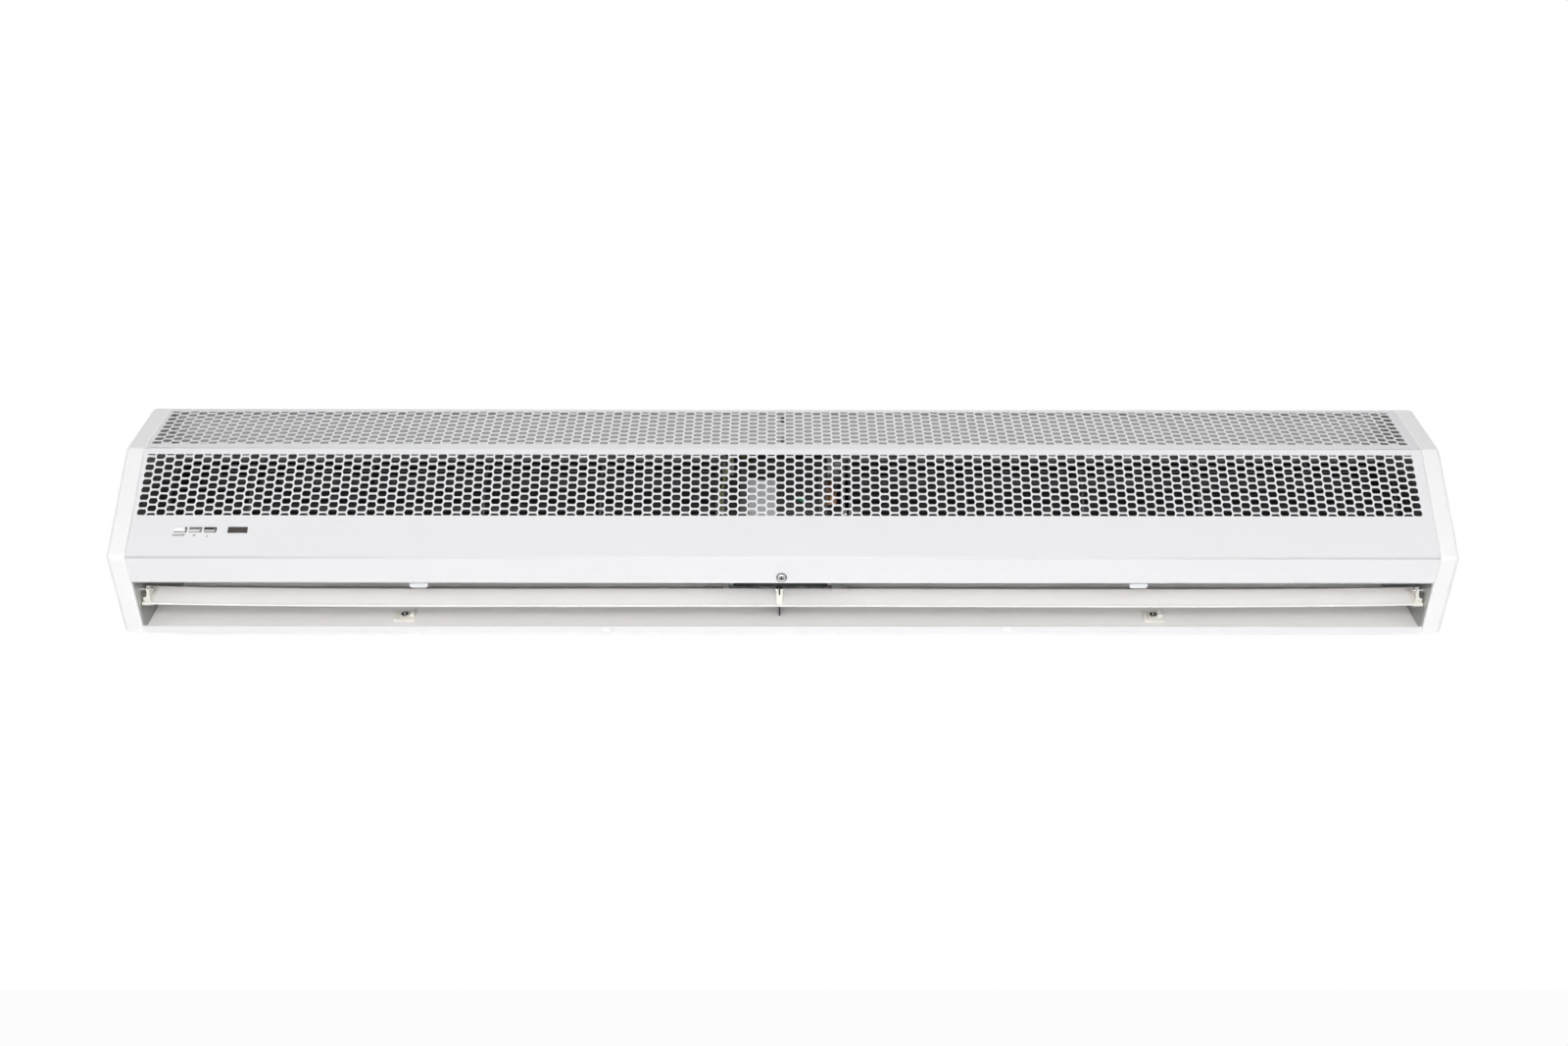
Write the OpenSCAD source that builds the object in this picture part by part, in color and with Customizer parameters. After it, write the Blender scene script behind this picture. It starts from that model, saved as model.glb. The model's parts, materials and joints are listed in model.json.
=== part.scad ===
// Wall-hung air curtain: a folded sheet casing with punched intake faces, a centre motor,
// two cross-flow impellers in scroll housings, and one long tilting vane in the outlet.
// Sections are drawn as [y, z]: y is minus the depth from the wall, z the height over the
// bottom face. X runs along the unit. The origin is the centre of the wall bolt pattern.

/* [Body] */
// Length over both end caps
total_length = 1200; // [1000:10:1400]
// Depth from the wall to the nose
depth = 185; // [180:1:195]
// Height
height = 212; // [208:1:225]
// Depth of the flat top
top_depth = 90; // [86:1:94]
// Depth of the fold between the two intake faces
fold_depth = 149; // [145:1:155]
// Height of that fold
fold_height = 166.6; // [162:0.1:170]
// Height of the nose
nose_height = 64.2; // [62:0.1:67]
// Depth of the flat bottom
base_depth = 136; // [134:1:140]
// Length of the cover below the nose
chin_length = 28; // [27:0.5:30]
// Width of an end cap
cap_width = 17.5; // [14:0.5:22]
// Wall of an end cap
cap_wall = 2.5; // [2:0.1:3.5]
// How far a cap stands proud of the sheet
cap_proud = 0.6; // [0.2:0.1:1]
// Corner radius of a cap
cap_corner = 5; // [2:0.5:8]

/* [Sheet metal] */
// Thickness of the front cover
cover_sheet = 1; // [0.8:0.1:1.2]
// Thickness of the rear casing
casing_sheet = 1.2; // [1:0.1:1.5]
// Thickness of the scroll, tongue, baffle and duct floor
duct_sheet = 1; // [0.7:0.1:1.2]
// Thickness of the plates across the unit
cross_sheet = 1.2; // [1:0.1:1.5]
// Length of the hem turned in at the outlet
hem_length = 10; // [6:0.5:12]
// Length of the cover's flange on the flat top
cover_flange = 30; // [15:1:45]
// Height of the casing's lip along the outlet
lip_length = 6; // [4:0.5:8]

/* [Intake pattern] */
// Column spacing of the openings, twice that of the fine punching
punch_pitch = 17.08; // [16:0.01:24]
// Row spacing between neighbouring columns
punch_row = 7.47; // [7.2:0.01:11]
// Half width of an opening
punch_half_width = 7.1; // [4:0.1:7.2]
// Half height of an opening
punch_half_height = 5; // [3:0.1:5.2]
// Half length of its flat edges
punch_half_flat = 4.4; // [2:0.1:4.6]
// Distance from the fold to the front openings
front_band_gap = 6; // [5:0.5:8]
// Distance from the fold to the top openings
top_band_gap = 8; // [7:0.5:9]
// Height of each band of openings
band_height = 61; // [48:0.5:62]
// Plain margin at each end of the bands
band_margin = 10; // [8:1:60]
// Offset of the pattern from the middle of the unit
punch_shift = -2.8; // [-4:0.1:0]

/* [Impellers and motor] */
// Depth of the fan axis
axis_depth = 86; // [84:1:88]
// Height of the fan axis
axis_height = 112; // [111:1:113]
// Outer radius of an impeller
rotor_radius = 52; // [48:0.5:53]
// Radial width of the blade ring
blade_depth = 10; // [8:0.5:12]
// Blades in an impeller
blade_count = 30; // [18:1:36]
// Thickness of a blade
blade_sheet = 1; // [0.8:0.1:1.2]
// Thickness of the impeller's discs
disc_sheet = 2; // [1.5:0.1:2.5]
// Distance between the discs
disc_pitch = 107; // [90:1:125]
// Half width of the motor bay
bay_half = 56; // [56:0.5:60]
// Radius of the motor's stator
stator_radius = 40; // [36:0.5:42]
// Half length of the stator
stator_half = 40; // [36:0.5:40]
// Radius of the motor shaft
shaft_radius = 6; // [5:0.5:7]
// Radius of the end shafts
stub_radius = 5; // [4:0.5:5.5]

/* [Vane] */
// Depth of the vane's pivot
vane_pivot_depth = 144; // [142:0.5:145]
// Height of the vane's pivot
vane_pivot_height = 38; // [37:0.5:39]
// How far the vane's front edge lies in front of the pivot
vane_fore = 3; // [2:0.5:5]
// How far the vane's front edge lies below the pivot
vane_fall = 13; // [11:0.5:14]
// How far the vane's back edge lies behind the pivot
vane_aft = 13; // [11:0.5:14]
// How far the vane's back edge lies above the pivot
vane_rise = 4; // [3:0.5:5]
// Thickness of the vane blade
vane_sheet = 1.5; // [1.2:0.1:2]
// Width of an end piece of the vane
vane_end_width = 8.5; // [6:0.5:10]
// Radius of the vane's pins
vane_pin_radius = 1.5; // [1.2:0.1:1.8]

/* [Switches] */
// Distance of the keys below the fold
key_drop = 81; // [76:0.5:88]
// Centre of the first key, from the left end
first_key_inset = 62.8; // [55:0.1:70]
// Distance between the keys
key_pitch = 13.15; // [12.5:0.05:14]
// Width of a key
key_width = 10.6; // [8:0.1:10.8]
// Height of a key
key_height = 5.3; // [4:0.1:6]
// Travel of a key
key_travel = 2; // [1:0.1:2.5]
// Centre of the receiver window, from the left end
window_inset = 113.4; // [110:0.1:120]
// Width of the receiver window
window_width = 17; // [14:0.1:18]

/* [Wall plate] */
// Thickness of the wall plate
plate_sheet = 1.5; // [1:0.1:2]
// Height of the bolt pattern over the bottom of the unit
bolt_height = 115; // [100:1:125]
// Distance from the unit's end to the wall plate's end
plate_inset = 60; // [40:5:100]
// Half height of the wall plate
plate_half_height = 60; // [55:1:62]
// Distance from the wall plate's end to the bolts
bolt_inset = 60; // [30:5:100]
// Distance between the bolt rows
bolt_rows = 80; // [60:1:90]
// Radius of a bolt hole
bolt_radius = 4.5; // [3:0.1:6]
// Radius of the cable inlet
inlet_radius = 5; // [4:0.5:6]

/* [Hidden] */
$fn = 48;

// Gaps and overruns shared by all pieces
seat_gap = 0.3;
running_gap = 0.05;
overrun = 2;

// Directions and mitred offsets of a sheet's outline, to the left of its path
function unit(v) = v / norm(v);
function left_of(v) = [-v[1], v[0]];
function turn(v, angle) = [v[0] * cos(angle) - v[1] * sin(angle), v[0] * sin(angle) + v[1] * cos(angle)];
function mitre(a, b) = (a + b) / (1 + a * b);
function side(path, i) = left_of(unit(path[i + 1] - path[i]));
function open_inset(path, t) = [for (i = [0 : len(path) - 1])
    path[i] + t * (i == 0 ? side(path, 0)
                 : i == len(path) - 1 ? side(path, i - 1)
                 : mitre(side(path, i - 1), side(path, i)))];
function closed_inset(loop, t) = let (n = len(loop)) [for (i = [0 : n - 1])
    let (before = left_of(unit(loop[i] - loop[(i + n - 1) % n])),
         after = left_of(unit(loop[(i + 1) % n] - loop[i])))
    loop[i] + t * mitre(before, after)];
function reversed(list) = [for (i = [len(list) - 1 : -1 : 0]) list[i]];
function strip(path, t) = concat(path, reversed(open_inset(path, t)));

// Corners of a closed loop turned to arcs
corner_steps = 4;
function rounded(loop, r) = let (n = len(loop)) [for (i = [0 : n - 1])
    let (a = unit(loop[(i + n - 1) % n] - loop[i]),
         b = unit(loop[(i + 1) % n] - loop[i]),
         half = acos(a * b) / 2,
         centre = loop[i] + r / sin(half) * unit(a + b),
         from = loop[i] + r / tan(half) * a - centre,
         sweep = (left_of(a) * b < 0 ? 1 : -1) * (180 - 2 * half))
    for (k = [0 : corner_steps]) centre + turn(from, sweep * k / corner_steps)];

// Places children on the unit: the sections count heights from the bottom face
module placed() { translate([0, 0, -bolt_height]) children(); }
module along_x(x0, x1) {
    translate([x0, 0, 0]) rotate([90, 0, 90]) linear_extrude(x1 - x0) children();
}
module rod(x0, x1, centre, r) { along_x(x0, x1) translate(centre) circle(r); }
module mirrored_pair() { children(); mirror([1, 0, 0]) children(); }

// Main points of the section
wall_gap = plate_sheet + seat_gap;
top_corner = [-top_depth, height];
fold = [-fold_depth, fold_height];
nose = [-depth, nose_height];
toe = [-base_depth, 0];
back_foot = [-wall_gap, 0];
back_head = [-wall_gap, height];
section_loop = [back_foot, back_head, top_corner, fold, nose, toe];
chin_dir = unit(toe - nose);
inward = left_of(chin_dir);
chin = nose + chin_length * chin_dir;
hem_end = chin + hem_length * inward;
lip_top = toe - lip_length * chin_dir;

// Lengths along the unit
half_length = total_length / 2;
cap_inner = half_length - cap_width;
sheet_half = cap_inner - seat_gap;
end_plate_x = sheet_half - cross_sheet;
duct_half = end_plate_x - seat_gap;
plate_half_length = half_length - plate_inset;
bolt_half_spacing = plate_half_length - bolt_inset;
window_offset = half_length - window_inset;

// Places children on a face of the section that runs from p to q: local y points back to p,
// local z outwards
module on_face(p, q) {
    d = unit(q - p);
    translate([0, p[0], p[1]]) rotate([atan2(-d[1], -d[0]), 0, 0]) children();
}

// Wall plate

hook_width = 30;
hook_reach = 3.5;
hook_rise = 10;
hook_height = 160;
hook_shares = [-7/9, -5/18, 5/18, 7/9];
hook_places = plate_half_length * hook_shares;
bolt_length = plate_sheet + 2 * overrun;

module wall_plate() color("silver") placed() difference() {
    union() {
        translate([-plate_half_length, -plate_sheet, bolt_height - plate_half_height])
            cube([2 * plate_half_length, plate_sheet, 2 * plate_half_height]);
        for (x = hook_places) hook(x);
    }
    for (x = [-bolt_half_spacing, bolt_half_spacing], z = [-bolt_rows / 2, bolt_rows / 2])
        translate([x, overrun, bolt_height + z]) rotate([90, 0, 0])
            cylinder(h = bolt_length, r = bolt_radius);
}

// A tab turned out of the plate through the casing's slot, and up behind its back
module hook(x) translate([x - hook_width / 2, 0, hook_height]) {
    translate([0, -wall_gap - casing_sheet - hook_reach, -plate_sheet])
        cube([hook_width, wall_gap + casing_sheet + hook_reach, plate_sheet]);
    translate([0, -wall_gap - casing_sheet - hook_reach, -plate_sheet])
        cube([hook_width, plate_sheet, hook_rise]);
}

// Rear casing and its lip

casing_top = height - cover_sheet;
casing_setback = 3.75;
casing_front = top_depth - casing_setback;
casing_path = [lip_top, toe, back_foot, [-wall_gap, casing_top], [-casing_front, casing_top]];
slot_height = 14;
insert_left_share = 0.2625;
insert_right_share = 0.33;
insert_left = insert_left_share * half_length;
insert_right = insert_right_share * half_length;
insert_depth = 12;
inlet_inset = 100;
inlet_x = half_length - inlet_inset;
inlet_depth = 40;
grommet_flange = 3;
grommet_wall = 2;
grommet_hole = inlet_radius + grommet_wall;

module rear_casing() color("whitesmoke") placed() difference() {
    along_x(-sheet_half, sheet_half) polygon(strip(casing_path, casing_sheet));
    for (x = hook_places)
        translate([x - hook_width / 2 - seat_gap, -wall_gap - casing_sheet - overrun,
                   hook_height - slot_height])
            cube([hook_width + 2 * seat_gap, casing_sheet + 2 * overrun, slot_height + seat_gap]);
    translate([-insert_left, -base_depth - lip_length, -overrun])
        cube([insert_left + insert_right, lip_length + insert_depth, lip_length + 2 * overrun]);
    translate([inlet_x, -inlet_depth, casing_top - casing_sheet - overrun])
        cylinder(h = casing_sheet + 2 * overrun, r = grommet_hole + running_gap);
}

// The separate middle stretch of the lip
module lip_insert() color("white") placed()
    along_x(-insert_left + seat_gap, insert_right - seat_gap)
        polygon(strip([lip_top, toe, [-base_depth + insert_depth - seat_gap, 0]], casing_sheet));

// Grommet of the cable inlet, in the casing's top
module cable_grommet() color("dimgray") placed()
    translate([inlet_x, -inlet_depth, casing_top - casing_sheet - grommet_flange])
    difference() {
        union() {
            cylinder(h = grommet_flange + casing_sheet, r = grommet_hole);
            cylinder(h = grommet_flange - running_gap, r = grommet_hole + grommet_wall);
        }
        translate([0, 0, -overrun])
            cylinder(h = grommet_flange + casing_sheet + 2 * overrun, r = inlet_radius);
    }

// Front cover: one folded sheet, punched on its two upper faces

cover_path = [[-top_depth + cover_flange, height], top_corner, fold, nose, chin];
column_max = floor((sheet_half - band_margin - punch_half_width) / punch_pitch);
row_max = floor((band_height - 2 * punch_half_height) / punch_row);
row_start = (band_height - row_max * punch_row) / 2;
top_slope_length = norm(fold - top_corner);
key_cut = seat_gap;
window_height = 5.4;
screw_x = -1.8;
screw_drop = 20.9;
screw_radius = 2;
screw_head_radius = 3.1;
screw_head_height = 2;
screw_length = 8;

module opening() linear_extrude(2 * overrun + cover_sheet)
    polygon([[-punch_half_width, 0], [-punch_half_flat, -punch_half_height],
             [punch_half_flat, -punch_half_height], [punch_half_width, 0],
             [punch_half_flat, punch_half_height], [-punch_half_flat, punch_half_height]]);

// One band of staggered openings, its upper edge at local y = 0
module openings() for (column = [-column_max : column_max], row = [0 : row_max])
    if ((column + row) % 2 == 0)
        translate([punch_shift + column * punch_pitch, -row_start - row * punch_row,
                   -cover_sheet - overrun])
            opening();

module panel_cut(x, width, tall)
    translate([x - width / 2, -key_drop - tall / 2, -cover_sheet - overrun])
        cube([width, tall, cover_sheet + 2 * overrun]);

module front_cover() color("white") placed() difference() {
    union() {
        along_x(-sheet_half, sheet_half) polygon(strip(cover_path, cover_sheet));
        along_x(-duct_half, duct_half) polygon(strip([chin, hem_end], cover_sheet));
    }
    on_face(fold, nose) {
        translate([0, -front_band_gap, 0]) openings();
        for (i = [0 : 2])
            panel_cut(key_x(i), key_width + 2 * key_cut, key_height + 2 * key_cut);
        panel_cut(-window_offset, window_width + 2 * key_cut, window_height + 2 * key_cut);
    }
    on_face(top_corner, fold)
        translate([0, -top_slope_length + top_band_gap + band_height, 0]) openings();
    on_face(nose, toe) translate([screw_x, -screw_drop, -cover_sheet - overrun])
        cylinder(h = cover_sheet + 2 * overrun, r = screw_radius + running_gap);
}

// Pan head screw with a cross recess, on a face at local z = 0
recess_width = 0.7;
recess_share = 0.6;
module pan_screw(length) difference() {
    union() {
        translate([0, 0, -length]) cylinder(h = length, r = screw_radius);
        cylinder(h = screw_head_height, r = screw_head_radius);
    }
    for (a = [0, 90]) rotate([0, 0, a])
        translate([-recess_width / 2, -screw_head_radius * recess_share, screw_head_height / 2])
            cube([recess_width, 2 * screw_head_radius * recess_share, screw_head_height]);
}

module cover_screw() color("silver") placed() on_face(nose, toe)
    translate([screw_x, -screw_drop, 0]) pan_screw(screw_length);

// Two lugs that stand out under the cover's lower edge
lug_shares = [-0.5442, 0.53];
lug_width = 16;
lug_drop = 4.5;
lug_length = 9;

// Square nut that the screw draws against the inside of the cover
nut_width = 11;
nut_thickness = 2;
module cover_nut() color("silver") placed() on_face(nose, toe)
    translate([screw_x, -screw_drop, -cover_sheet - nut_thickness]) difference() {
        translate([-nut_width / 2, -nut_width / 2, 0]) cube([nut_width, nut_width, nut_thickness]);
        translate([0, 0, -overrun]) cylinder(h = nut_thickness + 2 * overrun, r = screw_radius);
    }

module cover_lugs() color("white") placed()
    for (x = half_length * lug_shares)
        along_x(x - lug_width / 2, x + lug_width / 2)
            polygon(strip([chin + lug_drop * chin_dir + seat_gap * inward,
                           chin + seat_gap * inward - seat_gap * left_of(inward),
                           chin + (seat_gap + lug_length) * inward
                               - seat_gap * left_of(inward)], -duct_sheet));

// End caps: moulded shells with screw bosses

boss_radius = 6.5;
recess_depth = 2.4;
cap_screw_depth = 45;
cap_screw_inset = 40;
cap_screw_places = [[-cap_screw_depth, cap_screw_inset], [-cap_screw_depth, height - cap_screw_inset]];
cap_outline = rounded(closed_inset(section_loop, -cap_proud), cap_corner);
cap_cavity = rounded(closed_inset(section_loop, cap_wall), cap_corner);

module end_cap() difference() {
    union() {
        difference() {
            along_x(cap_inner, half_length) polygon(cap_outline);
            along_x(cap_inner - overrun, half_length - cap_wall) polygon(cap_cavity);
        }
        for (p = cap_screw_places) rod(cap_inner, half_length - cap_wall, p, boss_radius);
    }
    for (p = cap_screw_places) {
        rod(cap_inner - overrun, half_length, p, screw_radius + running_gap);
        rod(half_length - recess_depth, half_length + overrun, p, screw_head_radius + seat_gap);
    }
}

module left_end_cap() color("white") placed() mirror([1, 0, 0]) end_cap();
module right_end_cap() color("white") placed() end_cap();

module cap_screws() color("silver") placed() mirrored_pair()
    for (p = cap_screw_places) translate([half_length - recess_depth, p[0], p[1]])
        rotate([0, 90, 0]) pan_screw(half_length - recess_depth - sheet_half + cross_sheet / 2);

// Plates across the unit

fan_axis = [-axis_depth, axis_height];
sheet_clear = casing_sheet + seat_gap;
// The section under the casing's top, which lies below the cover's flange
plate_loop = [back_foot, [-wall_gap, casing_top],
              top_corner + cover_sheet / (height - fold_height) * (fold - top_corner), fold, nose, toe];

module end_plate() difference() {
    along_x(end_plate_x, sheet_half) polygon(closed_inset(plate_loop, sheet_clear));
    for (p = cap_screw_places)
        rod(end_plate_x - overrun, sheet_half + overrun, p, screw_radius + running_gap);
    rod(end_plate_x - overrun, sheet_half + overrun, vane_pivot, vane_pin_radius + running_gap);
}

module end_plate_left() color("darkgray") placed() mirror([1, 0, 0]) end_plate();
module end_plate_right() color("darkgray") placed() end_plate();

// Scroll: a spiral about the fan axis that opens towards the duct floor, which rises steeply
// from the lip to a knee and then meets the scroll

scroll_start_angle = -60;
scroll_end_angle = 88;
scroll_gap = 5;
scroll_opening = 19;
scroll_steps = 18;
floor_front = 36;
floor_slope = 38;
tongue_angle = 222;
tongue_gap = 6;
tongue_curl = 10;
tongue_curl_angle = -30;
tongue_overlap = 7;
intake_clear = 6;
tongue_reach = 47;

function around(angle, r) = fan_axis + r * [cos(angle), sin(angle)];
function scroll_radius(angle) = rotor_radius + scroll_gap
    + scroll_opening * (scroll_end_angle - angle) / (scroll_end_angle - scroll_start_angle);
function scroll_arc(grow) = [for (k = [0 : scroll_steps])
    let (angle = scroll_start_angle + (scroll_end_angle - scroll_start_angle) * k / scroll_steps)
    around(angle, scroll_radius(angle) + grow)];

floor_end = toe - lip_length / 2 * chin_dir + (casing_sheet + seat_gap) * inward;
floor_dir = [cos(floor_slope), sin(floor_slope)];
floor_knee = floor_end + floor_front * floor_dir;
floor_rear_dir = unit(scroll_arc(0)[0] - floor_knee);
floor_start = scroll_arc(0)[0] - seat_gap * floor_rear_dir;
tongue_tip = around(tongue_angle, rotor_radius + tongue_gap);
tongue_bend = hem_end + (cover_sheet + seat_gap) * left_of(inward);
tongue_path = [tongue_bend - tongue_overlap * inward, tongue_bend, tongue_tip,
               tongue_tip + turn([-tongue_curl, 0], tongue_curl_angle)];

module scroll() along_x(bay_half + seat_gap, duct_half) polygon(strip(scroll_arc(0), -duct_sheet));
module scroll_left() color("gainsboro") placed() mirror([1, 0, 0]) scroll();
module scroll_right() color("gainsboro") placed() scroll();

module duct_floor() color("gainsboro") placed()
    along_x(-duct_half, duct_half) polygon(strip([floor_end, floor_knee, floor_start], -duct_sheet));

module tongue() along_x(tongue_reach, duct_half) polygon(strip(tongue_path, duct_sheet));
module tongue_left() color("gainsboro") placed() mirror([1, 0, 0]) tongue();
module tongue_right() color("gainsboro") placed() tongue();

// Bay plates close the scrolls beside the motor

bay_setback = 8;
bay_bore = 14;
intake_steps = 10;
bay_foot = floor_knee + bay_setback * floor_rear_dir + seat_gap * left_of(floor_rear_dir);
bay_outline = concat([bay_foot], scroll_arc(-seat_gap),
    [for (k = [1 : intake_steps - 1])
        around(scroll_end_angle + (tongue_angle - scroll_end_angle) * k / intake_steps,
               rotor_radius + intake_clear / 2)],
    [tongue_tip - seat_gap * left_of(unit(tongue_tip - tongue_bend))]);

flange_reach_left = 50;
flange_reach_right = 44.7;

module bay_plate(flange_reach) {
    difference() {
        along_x(bay_half - cross_sheet, bay_half) polygon(bay_outline);
        rod(bay_half - cross_sheet - overrun, bay_half + overrun, fan_axis, bay_bore);
    }
    along_x(flange_reach, bay_half - cross_sheet / 2)
        polygon(strip([bay_foot + [0, cross_sheet], bay_outline[len(bay_outline) - 1]], -cross_sheet));
}
module bay_plate_left() color("darkgray") placed() mirror([1, 0, 0]) bay_plate(flange_reach_left);
module bay_plate_right() color("darkgray") placed() bay_plate(flange_reach_right);

// Baffle behind the top intake, from the scrolls up to the casing's top

baffle_depth = -scroll_arc(0)[scroll_steps][0];
baffle_foot = scroll_arc(duct_sheet)[scroll_steps][1] + seat_gap;
baffle_head = casing_top - casing_sheet;
baffle_flange = 14;
baffle_hole_radius = 3;
baffle_hole_shares = [0.335, 0.828];

module intake_baffle() color("gainsboro") placed() difference() {
    along_x(-duct_half, duct_half)
        polygon(strip([[-baffle_depth, baffle_foot], [-baffle_depth, baffle_head],
                       [-baffle_depth + baffle_flange, baffle_head]], -duct_sheet));
    for (share = baffle_hole_shares)
        translate([0, -baffle_depth - overrun, baffle_foot + share * (baffle_head - baffle_foot)])
        rotate([-90, 0, 0]) cylinder(h = duct_sheet + 2 * overrun, r = baffle_hole_radius);
}

// Clips on the duct floor, each with its screw

clip_shares = [-0.5803, 0.5672];
clip_width = 19;
clip_start = 10;
clip_length = 16;
clip_hole_set = 8;

module on_floor() {
    translate([0, floor_end[0], floor_end[1]])
        rotate([atan2(floor_dir[1], floor_dir[0]), 0, 0]) children();
}
module duct_clips() color("ivory") placed() on_floor() for (x = half_length * clip_shares)
    difference() {
        translate([x - clip_width / 2, clip_start, 0]) cube([clip_width, clip_length, duct_sheet]);
        translate([x, clip_start + clip_hole_set, -overrun])
            cylinder(h = duct_sheet + 2 * overrun, r = screw_radius + running_gap);
    }
module duct_screws() color("silver") placed() on_floor() for (x = half_length * clip_shares)
    translate([x, clip_start + clip_hole_set, duct_sheet]) pan_screw(duct_sheet / 2);

// Motor: stator with open winding heads between two end shields

winding_inner = 25;
winding_outer = 36;
winding_length = 11;
winding_shoulder_share = 0.7;
winding_crown_shares = [1.1, 0.92];
shield_sheet = 2;
shield_x = bay_half - cross_sheet - seat_gap - shield_sheet;
shield_boss = 10;
shield_boss_length = 8;
tie_radius = 1.6;
tie_inset = 2;
tie_circle = stator_radius - tie_inset;
tie_angles = [35, 125, 215, 305];
stator_bore = 22;
air_gap = 0.4;
rotor_inset = 2;
rotor_half = stator_half - rotor_inset;
shaft_end = 84;

module motor_stator() color("dimgray") placed() difference() {
    rod(-stator_half, stator_half, fan_axis, stator_radius);
    rod(-stator_half - overrun, stator_half + overrun, fan_axis, stator_bore);
}

module motor_windings() color("peru") placed() mirrored_pair()
    translate([stator_half, fan_axis[0], fan_axis[1]]) rotate([0, 90, 0])
        rotate_extrude() polygon([[winding_inner, 0], [winding_outer, 0],
            [winding_outer, winding_length * winding_shoulder_share],
            [winding_outer * winding_crown_shares[1], winding_length],
            [winding_inner * winding_crown_shares[0], winding_length],
            [winding_inner, winding_length * winding_shoulder_share]]);

module motor_shields() color("silver") placed() mirrored_pair() difference() {
    union() {
        rod(shield_x, shield_x + shield_sheet, fan_axis, stator_radius);
        rod(shield_x - shield_boss_length, shield_x, fan_axis, shield_boss);
        for (a = tie_angles) rod(stator_half, shield_x, around(a, tie_circle), tie_radius);
    }
    rod(shield_x - shield_boss_length - overrun, bay_half, fan_axis, shaft_radius + running_gap);
}

// Bare paper plate on the stator's front
label_from_share = -0.8125;
label_to_share = -0.1875;
label_angles = [150, 196];
label_thickness = 0.4;
label_steps = 10;
function label_arc(r) = [for (k = [0 : label_steps])
    around(label_angles[0] + (label_angles[1] - label_angles[0]) * k / label_steps, r)];
module motor_label() color("white") placed()
    along_x(label_from_share * stator_half, label_to_share * stator_half)
    polygon(concat(label_arc(stator_radius + running_gap),
                   reversed(label_arc(stator_radius + running_gap + label_thickness))));

// Rubber rings round the stator, and the cradle that clamps them to the casing's back
ring_thickness = 2;
ring_width = 7;
ring_places = [-stator_half, stator_half - ring_width];
band_thickness = 2;
cradle_foot = 26;
cradle_base_half = 42;
cradle_neck = 15;

module motor_rings() color("black") placed() for (x = ring_places) difference() {
    rod(x, x + ring_width, fan_axis, stator_radius + ring_thickness);
    rod(x - overrun, x + ring_width + overrun, fan_axis, stator_radius);
}

module motor_cradle() color("darkgray") placed() difference() {
    union() {
        for (x = ring_places) {
            rod(x, x + ring_width, fan_axis, stator_radius + ring_thickness + band_thickness);
            translate([x, -axis_depth, axis_height - cradle_neck])
                cube([ring_width, axis_depth - wall_gap - casing_sheet - band_thickness,
                      2 * cradle_neck]);
        }
        translate([-cradle_base_half, -wall_gap - casing_sheet - 2 * band_thickness,
                   axis_height - cradle_foot])
            cube([2 * cradle_base_half, 2 * band_thickness, 2 * cradle_foot]);
    }
    for (x = ring_places)
        rod(x - overrun, x + ring_width + overrun, fan_axis, stator_radius + ring_thickness);
}

module motor_shaft() color("silver") placed() rod(-shaft_end, shaft_end, fan_axis, shaft_radius);

module motor_rotor() color("gray") placed() difference() {
    rod(-rotor_half, rotor_half, fan_axis, stator_bore - air_gap);
    rod(-rotor_half - overrun, rotor_half + overrun, fan_axis, shaft_radius);
}

// Hubs on the shaft's ends, each with a set screw

impeller_gap = 4;
impeller_x = bay_half + impeller_gap;
hub_radius = 11;
hub_flange = 20;
hub_flange_sheet = 3;
set_screw_radius = 2;
set_screw_set = 14;
set_screw_x = impeller_x + disc_sheet + set_screw_set;

module hub() difference() {
    union() {
        rod(impeller_x + disc_sheet, shaft_end, fan_axis, hub_radius);
        rod(impeller_x + disc_sheet, impeller_x + disc_sheet + hub_flange_sheet, fan_axis,
            hub_flange);
    }
    rod(impeller_x, shaft_end + overrun, fan_axis, shaft_radius);
    translate([set_screw_x, fan_axis[0], fan_axis[1]])
        cylinder(h = 2 * hub_radius, r = set_screw_radius);
}
module hub_left() color("gray") placed() mirror([1, 0, 0]) hub();
module hub_right() color("gray") placed() hub();
module hub_screws() color("dimgray") placed() mirrored_pair()
    translate([set_screw_x, fan_axis[0], fan_axis[1] + shaft_radius])
        cylinder(h = hub_radius - shaft_radius, r = set_screw_radius);

// Impellers: curved blades through a row of discs

blade_inner = rotor_radius - blade_depth;
blade_lean = 14;
blade_bow = 1.6;
blade_steps = 4;
blade_inset = 0.5;
disc_margin = 3;
disc_inner = rotor_radius - blade_depth - disc_margin;
bearing_length = 11;
bearing_gap = 6;
impeller_end = end_plate_x - bearing_length - bearing_gap - seat_gap;
end_boss = 10;
end_boss_length = 12;
ring_max = floor((impeller_end - impeller_x - disc_pitch / 2) / disc_pitch);

// Middle line of a blade, from the inner to the outer radius
function blade_line() = [for (k = [0 : blade_steps])
    let (t = k / blade_steps, r = blade_inner + blade_inset + (blade_depth - 2 * blade_inset) * t,
         angle = blade_lean * t - blade_bow * 4 * t * (1 - t))
    r * [cos(angle), sin(angle)]];

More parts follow.
